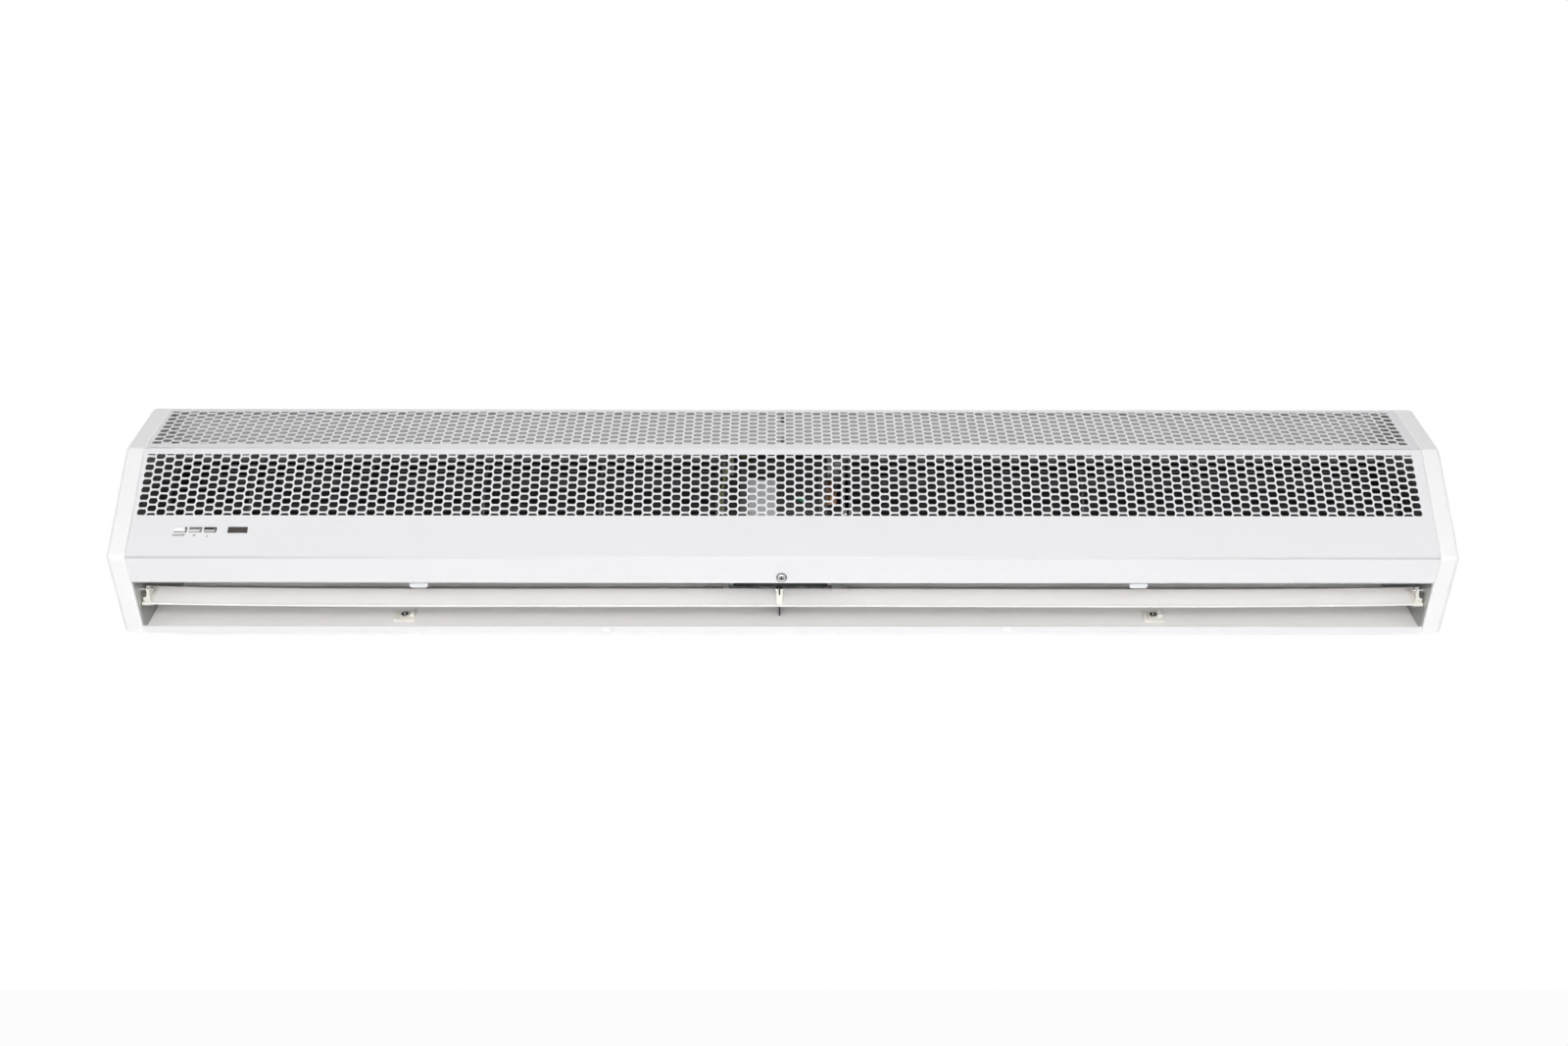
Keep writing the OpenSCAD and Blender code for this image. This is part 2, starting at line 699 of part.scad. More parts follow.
module impeller() difference() {
    union() {
        rod(impeller_x, impeller_x + disc_sheet, fan_axis, rotor_radius);
        rod(impeller_end - disc_sheet, impeller_end, fan_axis, rotor_radius);
        rod(impeller_end - end_boss_length, impeller_end, fan_axis, end_boss);
        for (k = [1 : ring_max]) difference() {
            rod(impeller_x + k * disc_pitch, impeller_x + k * disc_pitch + disc_sheet,
                fan_axis, rotor_radius);
            rod(impeller_x + k * disc_pitch - overrun,
                impeller_x + k * disc_pitch + disc_sheet + overrun, fan_axis, disc_inner);
        }
        along_x(impeller_x + disc_sheet / 2, impeller_end - disc_sheet / 2)
            translate(fan_axis) for (k = [0 : blade_count - 1]) rotate(360 / blade_count * k)
                polygon(strip(blade_line(), blade_sheet));
    }
    rod(impeller_x - overrun, impeller_x + disc_sheet + overrun, fan_axis, shaft_radius + seat_gap);
    rod(impeller_end - end_boss_length - overrun, impeller_end + overrun, fan_axis, stub_radius);
}
module impeller_left() color("slategray") placed() mirror([1, 0, 0]) impeller();
module impeller_right() color("slategray") placed() impeller();

// End shafts, sleeve bearings and their rubber cups

bearing_radius = 8.5;
cup_radius = 16;
bearing_x = end_plate_x - bearing_length;

module stub_shaft() rod(impeller_end - end_boss_length, end_plate_x - seat_gap, fan_axis, stub_radius);
module stub_shaft_left() color("silver") placed() mirror([1, 0, 0]) stub_shaft();
module stub_shaft_right() color("silver") placed() stub_shaft();

module sleeve(outer, bore) difference() {
    rod(bearing_x, end_plate_x, fan_axis, outer);
    rod(bearing_x - overrun, end_plate_x + overrun, fan_axis, bore);
}
module bearing_left() color("goldenrod") placed() mirror([1, 0, 0])
    sleeve(bearing_radius, stub_radius + running_gap);
module bearing_right() color("goldenrod") placed() sleeve(bearing_radius, stub_radius + running_gap);
module bearing_cup_left() color("black") placed() mirror([1, 0, 0])
    sleeve(cup_radius, bearing_radius);
module bearing_cup_right() color("black") placed() sleeve(cup_radius, bearing_radius);

// Capacitor and its strap on the casing's back, over the motor

back_face = -wall_gap - casing_sheet;
capacitor_half = 24;
capacitor_depth = 20;
capacitor_tall = 28;
capacitor_clear = 6.8;
capacitor_foot = casing_top - casing_sheet - capacitor_clear - capacitor_tall;
strap_width = 12;
strap_sheet = 1;
strap_foot = 10;

module capacitor() color("ivory") placed()
    translate([-capacitor_half, back_face - capacitor_depth, capacitor_foot])
        cube([2 * capacitor_half, capacitor_depth, capacitor_tall]);

strap_path = [[-capacitor_half - strap_foot, 0], [-capacitor_half - seat_gap, 0],
              [-capacitor_half - seat_gap, -capacitor_depth - seat_gap],
              [capacitor_half + seat_gap, -capacitor_depth - seat_gap],
              [capacitor_half + seat_gap, 0], [capacitor_half + strap_foot, 0]];
module capacitor_strap() color("silver") placed()
    translate([0, back_face, capacitor_foot + capacitor_tall / 2 - strap_width / 2])
        linear_extrude(strap_width) polygon(strip(strap_path, -strap_sheet));

// Pieces behind the plain panel: local z runs outwards from the cover's inner face

module behind_panel(x, drop) {
    on_face(fold, nose) translate([x, -drop, -cover_sheet]) children();
}
module panel_block(width, tall, deep) {
    translate([-width / 2, -tall / 2, -deep]) cube([width, tall, deep]);
}
function key_x(i) = first_key_inset - half_length + i * key_pitch;

loom_radius = 3;
loom_drop = 96;
terminal_x = -90;
terminal_width = 40;
terminal_tall = 16;
terminal_deep = 14;
terminal_ways = 4;
terminal_well = 3;

module terminal_block() color("ivory") placed() behind_panel(terminal_x, loom_drop) difference() {
    panel_block(terminal_width, terminal_tall, terminal_deep);
    for (i = [0 : terminal_ways - 1])
        translate([(i + 0.5 - terminal_ways / 2) * terminal_width / terminal_ways, 0,
                   -terminal_deep - overrun])
            cylinder(h = terminal_well + overrun, r = terminal_well);
}

box_width = 60;
box_tall = 26;
box_deep = 18;
box_wall = 1.8;
receiver_inset = 8;
box_x = box_width / 2 - receiver_inset - window_offset;
box_lower = 3;
box_drop = key_drop + box_lower;
board_depth = 9;
board_sheet = 1.6;
receiver_size = 7;

module control_box() color("black") placed() behind_panel(box_x, box_drop) difference() {
    panel_block(box_width, box_tall, box_deep);
    translate([0, 0, overrun]) panel_block(box_width - 2 * box_wall, box_tall - 2 * box_wall,
                                           box_deep - box_wall + overrun);
}

// Board on four posts from the box's floor, with the receiver behind the window
module control_board() color("darkgreen") placed() behind_panel(box_x, box_drop) {
    translate([0, 0, -board_depth])
        panel_block(box_width - 2 * box_wall - 2 * seat_gap, box_tall - 2 * box_wall - 2 * seat_gap,
                    board_sheet);
    for (x = [-box_width / 2 + receiver_size, box_width / 2 - receiver_size], y = [-1, 1])
        translate([x, y * box_tall / 4, -box_deep + box_wall])
            cylinder(h = box_deep - box_wall - board_depth - board_sheet, r = box_wall);
    translate([-window_offset - box_x, box_drop - key_drop, -seat_gap])
        panel_block(receiver_size, receiver_size / 2, board_depth - seat_gap);
}

housing_deep = 16;
housing_margin = 3;
key_lead = 11;
key_proud = 3;
housing_span = 2 * key_pitch + key_width + 2 * housing_margin;

module switch_housing() color("dimgray") placed() behind_panel(key_x(1), key_drop) difference() {
    panel_block(housing_span, key_height + 2 * housing_margin, housing_deep);
    for (i = [-1 : 1]) translate([i * key_pitch, 0, overrun])
        panel_block(key_width + 2 * seat_gap, key_height + 2 * seat_gap,
                    key_lead + key_travel + seat_gap + overrun);
}

// A key stands a little proud of the panel and slides into its well
module key(i) behind_panel(key_x(i), key_drop)
    translate([0, 0, cover_sheet + key_proud])
        panel_block(key_width, key_height, cover_sheet + key_proud + key_lead);
module key_power() color("white") placed() key(0);
module key_high() color("gray") placed() key(1);
module key_low() color("dimgray") placed() key(2);

window_proud = 0.3;
module receiver_window() color("saddlebrown") placed() behind_panel(-window_offset, key_drop)
    translate([0, 0, cover_sheet + window_proud])
        panel_block(window_width, window_height, cover_sheet + window_proud);

// Loom from the control box to the terminal block, held against the panel by clips

loom_from = box_x + box_width / 2;
loom_to = terminal_x - terminal_width / 2;
loom_clip_shares = [1/6, 1/2, 5/6];
loom_clip_width = 6;

module wire_loom() color("gray") placed() {
    behind_panel(0, loom_drop) translate([loom_from, 0, -loom_radius - seat_gap])
        rotate([0, 90, 0]) cylinder(h = loom_to - loom_from, r = loom_radius);
    for (share = loom_clip_shares)
        behind_panel(loom_from + share * (loom_to - loom_from), loom_drop)
        translate([-loom_clip_width / 2, -2 * loom_radius, -2 * (loom_radius + seat_gap)])
            cube([loom_clip_width, 4 * loom_radius, 2 * (loom_radius + seat_gap)]);
}

// Lead from the terminal block along the panel, then round a bend to the stator
lead_bend = 12;
lead_x = 8;
lead_centre = fold + loom_drop * unit(nose - fold)
    + (cover_sheet + seat_gap + loom_radius) * left_of(unit(nose - fold));
lead_dir = unit(fan_axis - lead_centre);
lead_reach = norm(fan_axis - lead_centre) - stator_radius - running_gap;
terminal_end = terminal_x + terminal_width / 2;

module motor_lead() color("forestgreen") placed()
    translate([0, lead_centre[0], lead_centre[1]])
        rotate([atan2(lead_dir[1], lead_dir[0]), 0, 0]) {
            translate([terminal_end, 0, 0]) rotate([0, 90, 0])
                cylinder(h = lead_x - lead_bend - terminal_end, r = loom_radius);
            translate([lead_x - lead_bend, lead_bend, 0]) rotate([0, 0, -90])
                rotate_extrude(angle = 90) translate([lead_bend, 0]) circle(loom_radius);
            translate([lead_x, lead_bend, 0]) rotate([-90, 0, 0])
                cylinder(h = lead_reach - lead_bend, r = loom_radius);
        }

// Vane: a long blade on eyes in front of its face, from the front edge up and back

vane_pivot = [-vane_pivot_depth, vane_pivot_height];
vane_front = vane_pivot - [vane_fore, vane_fall];
vane_back = vane_pivot + [vane_aft, vane_rise];
vane_dir = unit(vane_back - vane_front);
vane_half = duct_half - vane_end_width;
vane_lip = 1.2;
slot_half = 1.5;
slot_start = 4;
cheek_sheet = 2;
eye_radius = 3.2;
web_start = 2.6;
web_share = 0.75;
vane_mid = -3.6;

// A stretch of blade with a small rounded lip along its front edge
module vane_stretch(x0, x1) {
    along_x(x0, x1) polygon(strip([vane_front, vane_back], -vane_sheet));
    rod(x0, x1, vane_front + vane_sheet / 2 * (vane_dir - left_of(vane_dir)), vane_lip);
}
module vane_blade() color("whitesmoke") placed() difference() {
    vane_stretch(-vane_half, vane_half);
    along_x(vane_mid - slot_half, vane_mid + slot_half)
        polygon(strip([vane_front + slot_start * vane_dir + overrun * left_of(vane_dir),
                       vane_back + overrun * (vane_dir + left_of(vane_dir))],
                      -vane_sheet - 2 * overrun));
}

// Web from the eye to a foot on the blade's face, sunk into it by the given depth
module vane_web(sunk) {
    foot = vane_front + web_start * vane_dir - sunk * left_of(vane_dir);
    reach = web_share * norm(vane_back - vane_front) - web_start;
    difference() {
        union() {
            polygon([foot, foot + reach * vane_dir,
                     vane_pivot + eye_radius * vane_dir, vane_pivot - eye_radius * vane_dir]);
            translate(vane_pivot) circle(eye_radius);
        }
        translate(vane_pivot) circle(vane_pin_radius + running_gap);
    }
}
module vane_end() {
    along_x(vane_half, duct_half) vane_web(vane_sheet / 2);
    vane_stretch(vane_half, duct_half);
}
module vane_end_left() color("ivory") placed() mirror([1, 0, 0]) vane_end();
module vane_end_right() color("ivory") placed() vane_end();

// Two cheeks on the blade's face, beside the post
module vane_clip() color("ivory") placed() translate([vane_mid, 0, 0]) mirrored_pair()
    along_x(slot_half, slot_half + cheek_sheet) vane_web(0);

// Pins: one in each end plate, one through the middle post
module vane_pins() color("silver") placed() {
    mirrored_pair() rod(vane_half, sheet_half, vane_pivot, vane_pin_radius);
    rod(vane_mid - slot_half - cheek_sheet, vane_mid + slot_half + cheek_sheet, vane_pivot,
        vane_pin_radius);
}

// Post on the duct floor that carries the middle of the vane, through the blade's slot
post_half_sheet = 0.6;
post_foot_from = 19;
post_foot_to = 35;
post_eye = 4;
post_angles = [60, -75];
module vane_post() color("dimgray") placed() translate([vane_mid, 0, 0]) difference() {
    along_x(-post_half_sheet, post_half_sheet) union() {
        polygon([floor_point(post_foot_from), floor_point(post_foot_to),
                 vane_pivot + turn([post_eye, 0], post_angles[0]),
                 vane_pivot + turn([post_eye, 0], post_angles[1])]);
        translate(vane_pivot) circle(post_eye);
    }
    rod(-overrun, overrun, vane_pivot, vane_pin_radius + running_gap);
}
function floor_point(s) = floor_end + s * floor_dir;

wall_plate();
rear_casing();
lip_insert();
front_cover();
cover_screw();
cover_nut();
cover_lugs();
left_end_cap();
right_end_cap();
cap_screws();
end_plate_left();
end_plate_right();
bay_plate_left();
bay_plate_right();
intake_baffle();
scroll_left();
scroll_right();
duct_floor();
duct_clips();
duct_screws();
tongue_left();
tongue_right();
motor_stator();
motor_windings();
motor_shields();
motor_label();
motor_rings();
motor_cradle();
motor_shaft();
motor_rotor();
motor_lead();
hub_left();
hub_right();
hub_screws();
impeller_left();
impeller_right();
stub_shaft_left();
stub_shaft_right();
bearing_left();
bearing_right();
bearing_cup_left();
bearing_cup_right();
capacitor();
capacitor_strap();
terminal_block();
control_box();
control_board();
switch_housing();
key_power();
key_high();
key_low();
receiver_window();
wire_loom();
cable_grommet();
vane_blade();
vane_end_left();
vane_end_right();
vane_clip();
vane_pins();
vane_post();
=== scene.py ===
import json
import math

import bmesh
import bpy
from mathutils import Matrix, Vector


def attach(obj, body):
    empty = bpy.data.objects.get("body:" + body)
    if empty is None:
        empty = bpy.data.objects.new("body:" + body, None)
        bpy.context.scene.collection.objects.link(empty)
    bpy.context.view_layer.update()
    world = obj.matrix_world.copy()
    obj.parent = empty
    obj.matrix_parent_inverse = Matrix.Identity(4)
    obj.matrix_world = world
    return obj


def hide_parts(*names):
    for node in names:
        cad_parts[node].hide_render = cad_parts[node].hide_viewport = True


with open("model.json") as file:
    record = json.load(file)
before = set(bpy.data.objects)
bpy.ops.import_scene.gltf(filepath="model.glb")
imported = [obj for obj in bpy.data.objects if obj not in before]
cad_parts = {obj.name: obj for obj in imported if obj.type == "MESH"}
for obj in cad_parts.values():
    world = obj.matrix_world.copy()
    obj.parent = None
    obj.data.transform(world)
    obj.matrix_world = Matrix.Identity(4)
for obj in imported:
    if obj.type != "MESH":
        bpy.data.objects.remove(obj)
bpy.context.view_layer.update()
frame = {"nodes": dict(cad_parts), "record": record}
NODES = frame["nodes"]
SLOT_OF = {part["node"]: part["material_slot"] for part in frame["record"]["subparts"]}

# Lengths are written in millimetres and heights over the unit's bottom face, as on a drawing
MM = 0.001
BOTTOM = -115.0


def point(x, y, z):
    """A drawing's point in the frame's metres"""
    return Vector((x * MM, y * MM, (z + BOTTOM) * MM))


# The section's corners, as (y, z)
HEIGHT = 212.0
TOP = Vector((-90.0, HEIGHT))
FOLD = Vector((-149.0, 166.6))
NOSE = Vector((-185.0, 64.2))
TOE = Vector((-136.0, 0.0))
BACK = -1.8
TOP_WAY = (TOP - FOLD).normalized()
FRONT_WAY = (NOSE - FOLD).normalized()
FRONT_OUT = Vector((FRONT_WAY.y, -FRONT_WAY.x))
CHIN_WAY = (TOE - NOSE).normalized()
INWARD = Vector((-CHIN_WAY.y, CHIN_WAY.x))
CHIN_DEEP = 28.0
CHIN = NOSE + CHIN_DEEP * CHIN_WAY

# Places along the unit
CAP_INNER, CAP_OUTER = 582.5, 600.0
SHEET_HALF, DUCT_HALF = 582.2, 580.7


# Materials: pattern scales are per metre, and the depth of a relief is in millimetres


class Value:
    """A value in a graph of nodes, joined by ordinary sums"""

    def __init__(self, graph, socket):
        self.graph, self.socket = graph, socket

    def sum(self, operation, first, second):
        return self.graph.node("ShaderNodeMath", {"operation": operation}, {0: first, 1: second})

    def larger(self, other):
        return self.sum("MAXIMUM", self, other)

    def beside(self, out):
        """Another output of the same node"""
        return Value(self.graph, self.socket.node.outputs[out])

    def __add__(self, other):
        return self.sum("ADD", self, other)

    def __radd__(self, other):
        return self.sum("ADD", other, self)

    def __mul__(self, other):
        return self.sum("MULTIPLY", self, other)

    def __rmul__(self, other):
        return self.sum("MULTIPLY", other, self)

    def __gt__(self, other):
        return self.sum("GREATER_THAN", self, other)

    def __lt__(self, other):
        return self.sum("LESS_THAN", self, other)


class Graph:
    """A tree of shader nodes"""

    def __init__(self, tree):
        self.tree = tree

    def node(self, kind, settings, values, out=0):
        """A new node, with its settings set first and then its sockets set or linked"""
        made = self.tree.nodes.new(kind)
        for key, value in settings.items():
            setattr(made, key, value)
        for key, value in values.items():
            self.join(made.inputs[key], value)
        return Value(self, made.outputs[out])

    def join(self, socket, value):
        if isinstance(value, Value):
            self.tree.links.new(value.socket, socket)
        else:
            socket.default_value = value

    def blend(self, share, first, second):
        return self.node("ShaderNodeMixShader", {}, {0: share, 1: first, 2: second})


class Finish(Graph):
    """A material on Object coordinates. Sockets with one value all over are set on the shader"""

    def __init__(self, name, **fixed):
        self.material = bpy.data.materials.new(name)
        self.material.use_nodes = True
        super().__init__(self.material.node_tree)
        self.shader = self.tree.nodes["Principled BSDF"]
        for key, value in fixed.items():
            self.feed(key, value)
        self.place = self.node("ShaderNodeTexCoord", {}, {}, "Object")

    def feed(self, key, value):
        """Sets a socket of the shader: Base_Color stands for Base Color"""
        self.join(self.shader.inputs[key.replace("_", " ")], value)

    def scaled(self, x, y, z):
        return self.node("ShaderNodeMapping", {}, {"Vector": self.place, "Scale": (x, y, z)})

    def noise(self, scale, detail=2.0, rough=0.5, where=None):
        return self.node("ShaderNodeTexNoise", {}, {
            "Vector": where or self.place, "Scale": scale, "Detail": detail, "Roughness": rough})

    def cells(self, scale, out="Distance"):
        return self.node("ShaderNodeTexVoronoi", {}, {"Vector": self.place, "Scale": scale}, out)

    def bands(self, scale, **values):
        """Lines across the unit's length"""
        return self.node("ShaderNodeTexWave", {"wave_type": "BANDS", "bands_direction": "X"},
                         {"Vector": self.place, "Scale": scale, **values})

    def tint(self, pattern, first, second):
        """The colour goes from the first to the second with a pattern"""
        values = {0: pattern, 6: first, 7: second}
        self.feed("Base_Color", self.node("ShaderNodeMix", {"data_type": "RGBA"}, values, 2))

    def dull(self, pattern, low, high):
        """The roughness goes from low to high with a pattern"""
        self.feed("Roughness", low + (high - low) * pattern)

    def relief(self, height, depth):
        """A pattern stands out of the surface by up to a depth"""
        self.feed("Normal", self.node("ShaderNodeBump", {}, {"Height": height, "Distance": depth * MM}))


def tone(r, g=None, b=None):
    return (r, r if g is None else g, r if b is None else b, 1.0)


def darker(colour, share):
    return tone(*[c * share for c in colour])


def painted(name, colour, rough, peel=0.03):
    """Powder coat: a fine orange peel, with faint cloudy changes of gloss and tone"""
    f = Finish(name)
    cloud = f.noise(9.0, 3.0)
    f.tint(cloud, darker(colour, 0.985), tone(*colour))
    f.dull(cloud, rough - 0.05, rough + 0.05)
    f.relief(f.noise(620.0), peel)
    return f.material


def moulded(name, colour, rough):
    """Moulded plastic: a spark-eroded grain and slight flow marks"""
    f = Finish(name, IOR=1.46)
    flow = f.noise(14.0, 4.0, 0.6)
    f.tint(flow, darker(colour, 0.97), tone(*colour))
    f.dull(flow, rough - 0.06, rough + 0.06)
    f.relief(f.cells(1400.0), 0.02)
    return f.material


def sheet_steel(name, colour, rough, metal=0.85):
    """Galvanised sheet: faint spangle and rolling lines along the unit"""
    f = Finish(name, Metallic=metal)
    spangle = f.cells(130.0, "Color")
    rolled = f.noise(1.0, 3.0, 0.6, f.scaled(3.0, 900.0, 900.0))
    shade = 0.35 * spangle + 0.65 * rolled
    f.tint(shade, darker(colour, 0.82), tone(*colour))
    f.dull(shade, rough - 0.08, rough + 0.08)
    f.relief(rolled, 0.01)
    return f.material


def turned(name, colour, rough):
    """Turned or polished metal: fine lines round the fan axis"""
    f = Finish(name, Metallic=1.0)
    lines = f.noise(1.0, 2.0, 0.5, f.scaled(2500.0, 30.0, 30.0))
    f.tint(lines, darker(colour, 0.88), tone(*colour))
    f.dull(lines, rough - 0.05, rough + 0.07)
    return f.material


def laminated(name):
    """Stacked iron sheets: thin dark lines across the axis"""
    f = Finish(name, Metallic=0.7)
    sheets = f.bands(260.0, Distortion=0.3)
    cloud = f.noise(60.0, 3.0)
    f.tint(sheets * 0.5 + cloud * 0.5, tone(0.015, 0.015, 0.016), tone(0.05, 0.05, 0.052))
    f.dull(cloud, 0.4, 0.6)
    f.relief(sheets, 0.08)
    return f.material


def wound(name):
    """Enamelled copper: strands side by side, laced"""
    f = Finish(name, Metallic=0.8, Coat_Weight=0.3)
    strands = f.bands(190.0, Distortion=4.0, Detail=2.0, **{"Detail Scale": 1.5})
    f.tint(strands, tone(0.35, 0.18, 0.10), tone(0.85, 0.52, 0.33))
    f.dull(strands, 0.3, 0.5)
    f.relief(strands, 0.3)
    return f.material


def rubber(name):
    """Black rubber with a little dust"""
    f = Finish(name, Base_Color=tone(0.018), Specular_IOR_Level=0.35)
    dust = f.noise(90.0, 4.0)
    f.dull(dust, 0.6, 0.85)
    f.relief(dust, 0.1)
    return f.material


def paper(name):
    """Plain grey-white label"""
    f = Finish(name, Specular_IOR_Level=0.3)
    fibres = f.noise(700.0, 4.0, 0.7)
    f.tint(fibres, tone(0.46, 0.47, 0.48), tone(0.52, 0.53, 0.54))
    f.dull(fibres, 0.55, 0.65)
    return f.material


def board(name):
    """Solder mask over tracks"""
    f = Finish(name, Coat_Weight=0.4)
    tracks = f.cells(260.0)
    f.tint(tracks > 0.35, tone(0.01, 0.09, 0.03), tone(0.02, 0.16, 0.06))
    f.dull(tracks, 0.35, 0.45)
    f.relief(tracks, 0.05)
    return f.material


def tinted(name):
    """Dark window that lets the receiver's light through"""
    f = Finish(name, IOR=1.5, Coat_Weight=0.6, Coat_Roughness=0.05)
    swirl = f.noise(60.0)
    f.tint(swirl, tone(0.018, 0.010, 0.006), tone(0.03, 0.016, 0.01))
    f.dull(swirl, 0.12, 0.18)
    return f.material


FINISHES = {
    "cover_paint": painted("cover_paint", (0.755, 0.755, 0.77), 0.42),
    "casing_paint": painted("casing_paint", (0.775, 0.77, 0.785), 0.42),
    "cap_plastic": moulded("cap_plastic", (0.85, 0.85, 0.855), 0.42),
    "duct_steel": painted("duct_steel", (0.90, 0.88, 0.87), 0.45),
    "plate_steel": sheet_steel("plate_steel", (0.55, 0.56, 0.55), 0.38),
    "shaft_steel": turned("shaft_steel", (0.75, 0.75, 0.76), 0.22),
    "screw_chrome": turned("screw_chrome", (0.62, 0.62, 0.63), 0.2),
    "stator_iron": laminated("stator_iron"),
    "copper": wound("copper"),
    "blade_alloy": sheet_steel("blade_alloy", (0.07, 0.07, 0.072), 0.45, 0.6),
    "bronze": turned("bronze", (0.6, 0.4, 0.16), 0.3),
    "black_rubber": rubber("black_rubber"),
    # The next three finishes are darkened to paint the shade on parts deep inside the unit
    "shade_black": painted("shade_black", (0.045, 0.045, 0.047), 0.5, 0.1),
    "shade_grey": painted("shade_grey", (0.17, 0.17, 0.172), 0.55),
    "shade_zinc": sheet_steel("shade_zinc", (0.40, 0.40, 0.39), 0.5, 0.4),
    "black_plastic": moulded("black_plastic", (0.025, 0.025, 0.027), 0.45),
    "ivory_plastic": moulded("ivory_plastic", (0.83, 0.81, 0.75), 0.4),
    "vane_plastic": moulded("vane_plastic", (0.90, 0.88, 0.865), 0.38),
    "paper": paper("paper"),
    "board_green": board("board_green"),
    "wire_grey": moulded("wire_grey", (0.10, 0.10, 0.10), 0.5),
    "wire_green": moulded("wire_green", (0.02, 0.26, 0.10), 0.4),
    "wire_earth": moulded("wire_earth", (0.11, 0.13, 0.035), 0.4),
    "window_brown": tinted("window_brown"),
    "key_white": moulded("key_white", (0.84, 0.84, 0.83), 0.35),
    "key_pale": moulded("key_pale", (0.62, 0.62, 0.62), 0.35),
    "key_grey": moulded("key_grey", (0.17, 0.17, 0.175), 0.35),
    "key_dark": moulded("key_dark", (0.02, 0.02, 0.022), 0.35),
}
# A few nodes get a darker finish than the rest of their slot: painted shade for parts that lie in shadow
# deep inside the unit
SHADE_DARKENED = {"motor_shields": "shade_black", "motor_cradle": "shade_black", "intake_baffle": "shade_zinc",
          "bay_plate_left": "shade_grey", "bay_plate_right": "shade_grey", "capacitor": "black_plastic"}
for node, obj in NODES.items():
    obj.data.materials.clear()
    obj.data.materials.append(FINISHES[SHADE_DARKENED.get(node, SLOT_OF[node])])


# Shapes

# Within about a degree of a plane a face counts as flat. Points closer than a micron are one
FLAT_COSINE = 0.9998
MICRON = 1e-6
BAR_SIDES = 8


def piece(name, bm, slot, body, *nodes, smooth=35.0, planes=()):
    """Finishes a mesh as a piece that rides on a body and stands for the CAD nodes.
    Faces square to one of the planes' normals stay flat"""
    mesh = bpy.data.meshes.new(name)
    bm.to_mesh(mesh)
    bm.free()
    mesh.set_sharp_from_angle(angle=math.radians(smooth))
    for face in mesh.polygons:
        face.use_smooth = all(abs(face.normal.dot(way)) < FLAT_COSINE for way in planes)
    mesh.materials.append(FINISHES[slot])
    obj = bpy.data.objects.new(name, mesh)
    bpy.context.scene.collection.objects.link(obj)
    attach(obj, body)
    if nodes:
        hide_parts(*nodes)
    return obj


def as_mesh(bm, name):
    mesh = bpy.data.meshes.new(name)
    bm.to_mesh(mesh)
    bm.free()
    return mesh


def add(bm, part):
    """Moves a part's mesh into another"""
    mesh = as_mesh(part, "part")
    bm.from_mesh(mesh)
    bpy.data.meshes.remove(mesh)


def turns(count):
    """A full turn in equal steps"""
    return [math.tau * k / count for k in range(count)]


def polar(radius, turn):
    return radius * math.cos(turn), radius * math.sin(turn)


def ring(bm, points):
    """A closed loop of edges through the points"""
    corners = [bm.verts.new(p) for p in points]
    return [bm.edges.new((a, b)) for a, b in zip(corners, corners[1:] + corners[:1])]


def loft(bm, rings):
    """Walls from each loop of points to the next"""
    loops = [ring(bm, r) for r in rings]
    for a, b in zip(loops, loops[1:]):
        bmesh.ops.bridge_loops(bm, edges=a + b)
    return loops


def fill(bm, edges):
    bmesh.ops.triangle_fill(bm, use_beauty=True, use_dissolve=False, edges=edges)


def solid(bm, rings):
    """Walls through the loops of points, closed at both ends"""
    loops = loft(bm, rings)
    fill(bm, loops[0])
    fill(bm, loops[-1])


def tidy_normals(bm):
    bmesh.ops.remove_doubles(bm, verts=bm.verts, dist=MICRON)
    bmesh.ops.recalc_face_normals(bm, faces=bm.faces)


def block(bm, low, high, width, steps):
    """A box between two corners, its edges rounded"""
    low, high = Vector(low), Vector(high)
    made = bmesh.ops.create_cube(bm, size=1.0)["verts"]
    bmesh.ops.scale(bm, verts=made, vec=high - low)
    bmesh.ops.translate(bm, verts=made, vec=(low + high) / 2)
    edges = {e for v in made for e in v.link_edges}
    bmesh.ops.bevel(bm, geom=list(edges), offset=width, offset_type="OFFSET", segments=steps,
                    profile=0.5, affect="EDGES", material=-1)


def arc(corner, before, after, radius, steps):
    """Points of a bend at a corner between two neighbours"""
    a, b = (before - corner).normalized(), (after - corner).normalized()
    half = a.angle(b) / 2
    centre = corner + (a + b).normalized() * (radius / math.sin(half))
    start = corner + a * (radius / math.tan(half)) - centre
    whole = (math.pi - 2 * half) * (-1 if a.x * b.y > a.y * b.x else 1)
    out = []
    for k in range(steps + 1):
        s, c = math.sin(whole * k / steps), math.cos(whole * k / steps)
        out.append(centre + Vector((start.x * c - start.y * s, start.x * s + start.y * c)))
    return out


def inset(loop, depth):
    """A closed loop drawn in by a depth, with mitred corners"""
    out = []
    for i, p in enumerate(loop):
        a, b = (p - loop[i - 1]).normalized(), (loop[(i + 1) % len(loop)] - p).normalized()
        left_a, left_b = Vector((-a.y, a.x)), Vector((-b.y, b.x))
        out.append(p + depth * (left_a + left_b) / (1 + left_a.dot(left_b)))
    return out


def at_x(x, loop):
    return [point(x, p.x, p.y) for p in loop]


def onto(bm, corner, way, outward=Vector((0.0, 0.0))):
    """Lays a mesh, drawn in x, the distance from a corner and the height, on the unit"""
    for v in bm.verts:
        spot = corner + way * v.co.y + outward * v.co.z
        v.co = point(v.co.x, spot.x, spot.y)


# Front cover: one folded sheet with two bands of staggered openings

# Its thickness, bends, rear edge and the flange behind its chin
SHEET_THICK = 0.7
BEND, BEND_STEPS = 2.2, 4
COVER_BACK = Vector((-60.0, HEIGHT))
CHIN_FLANGE = 10.0
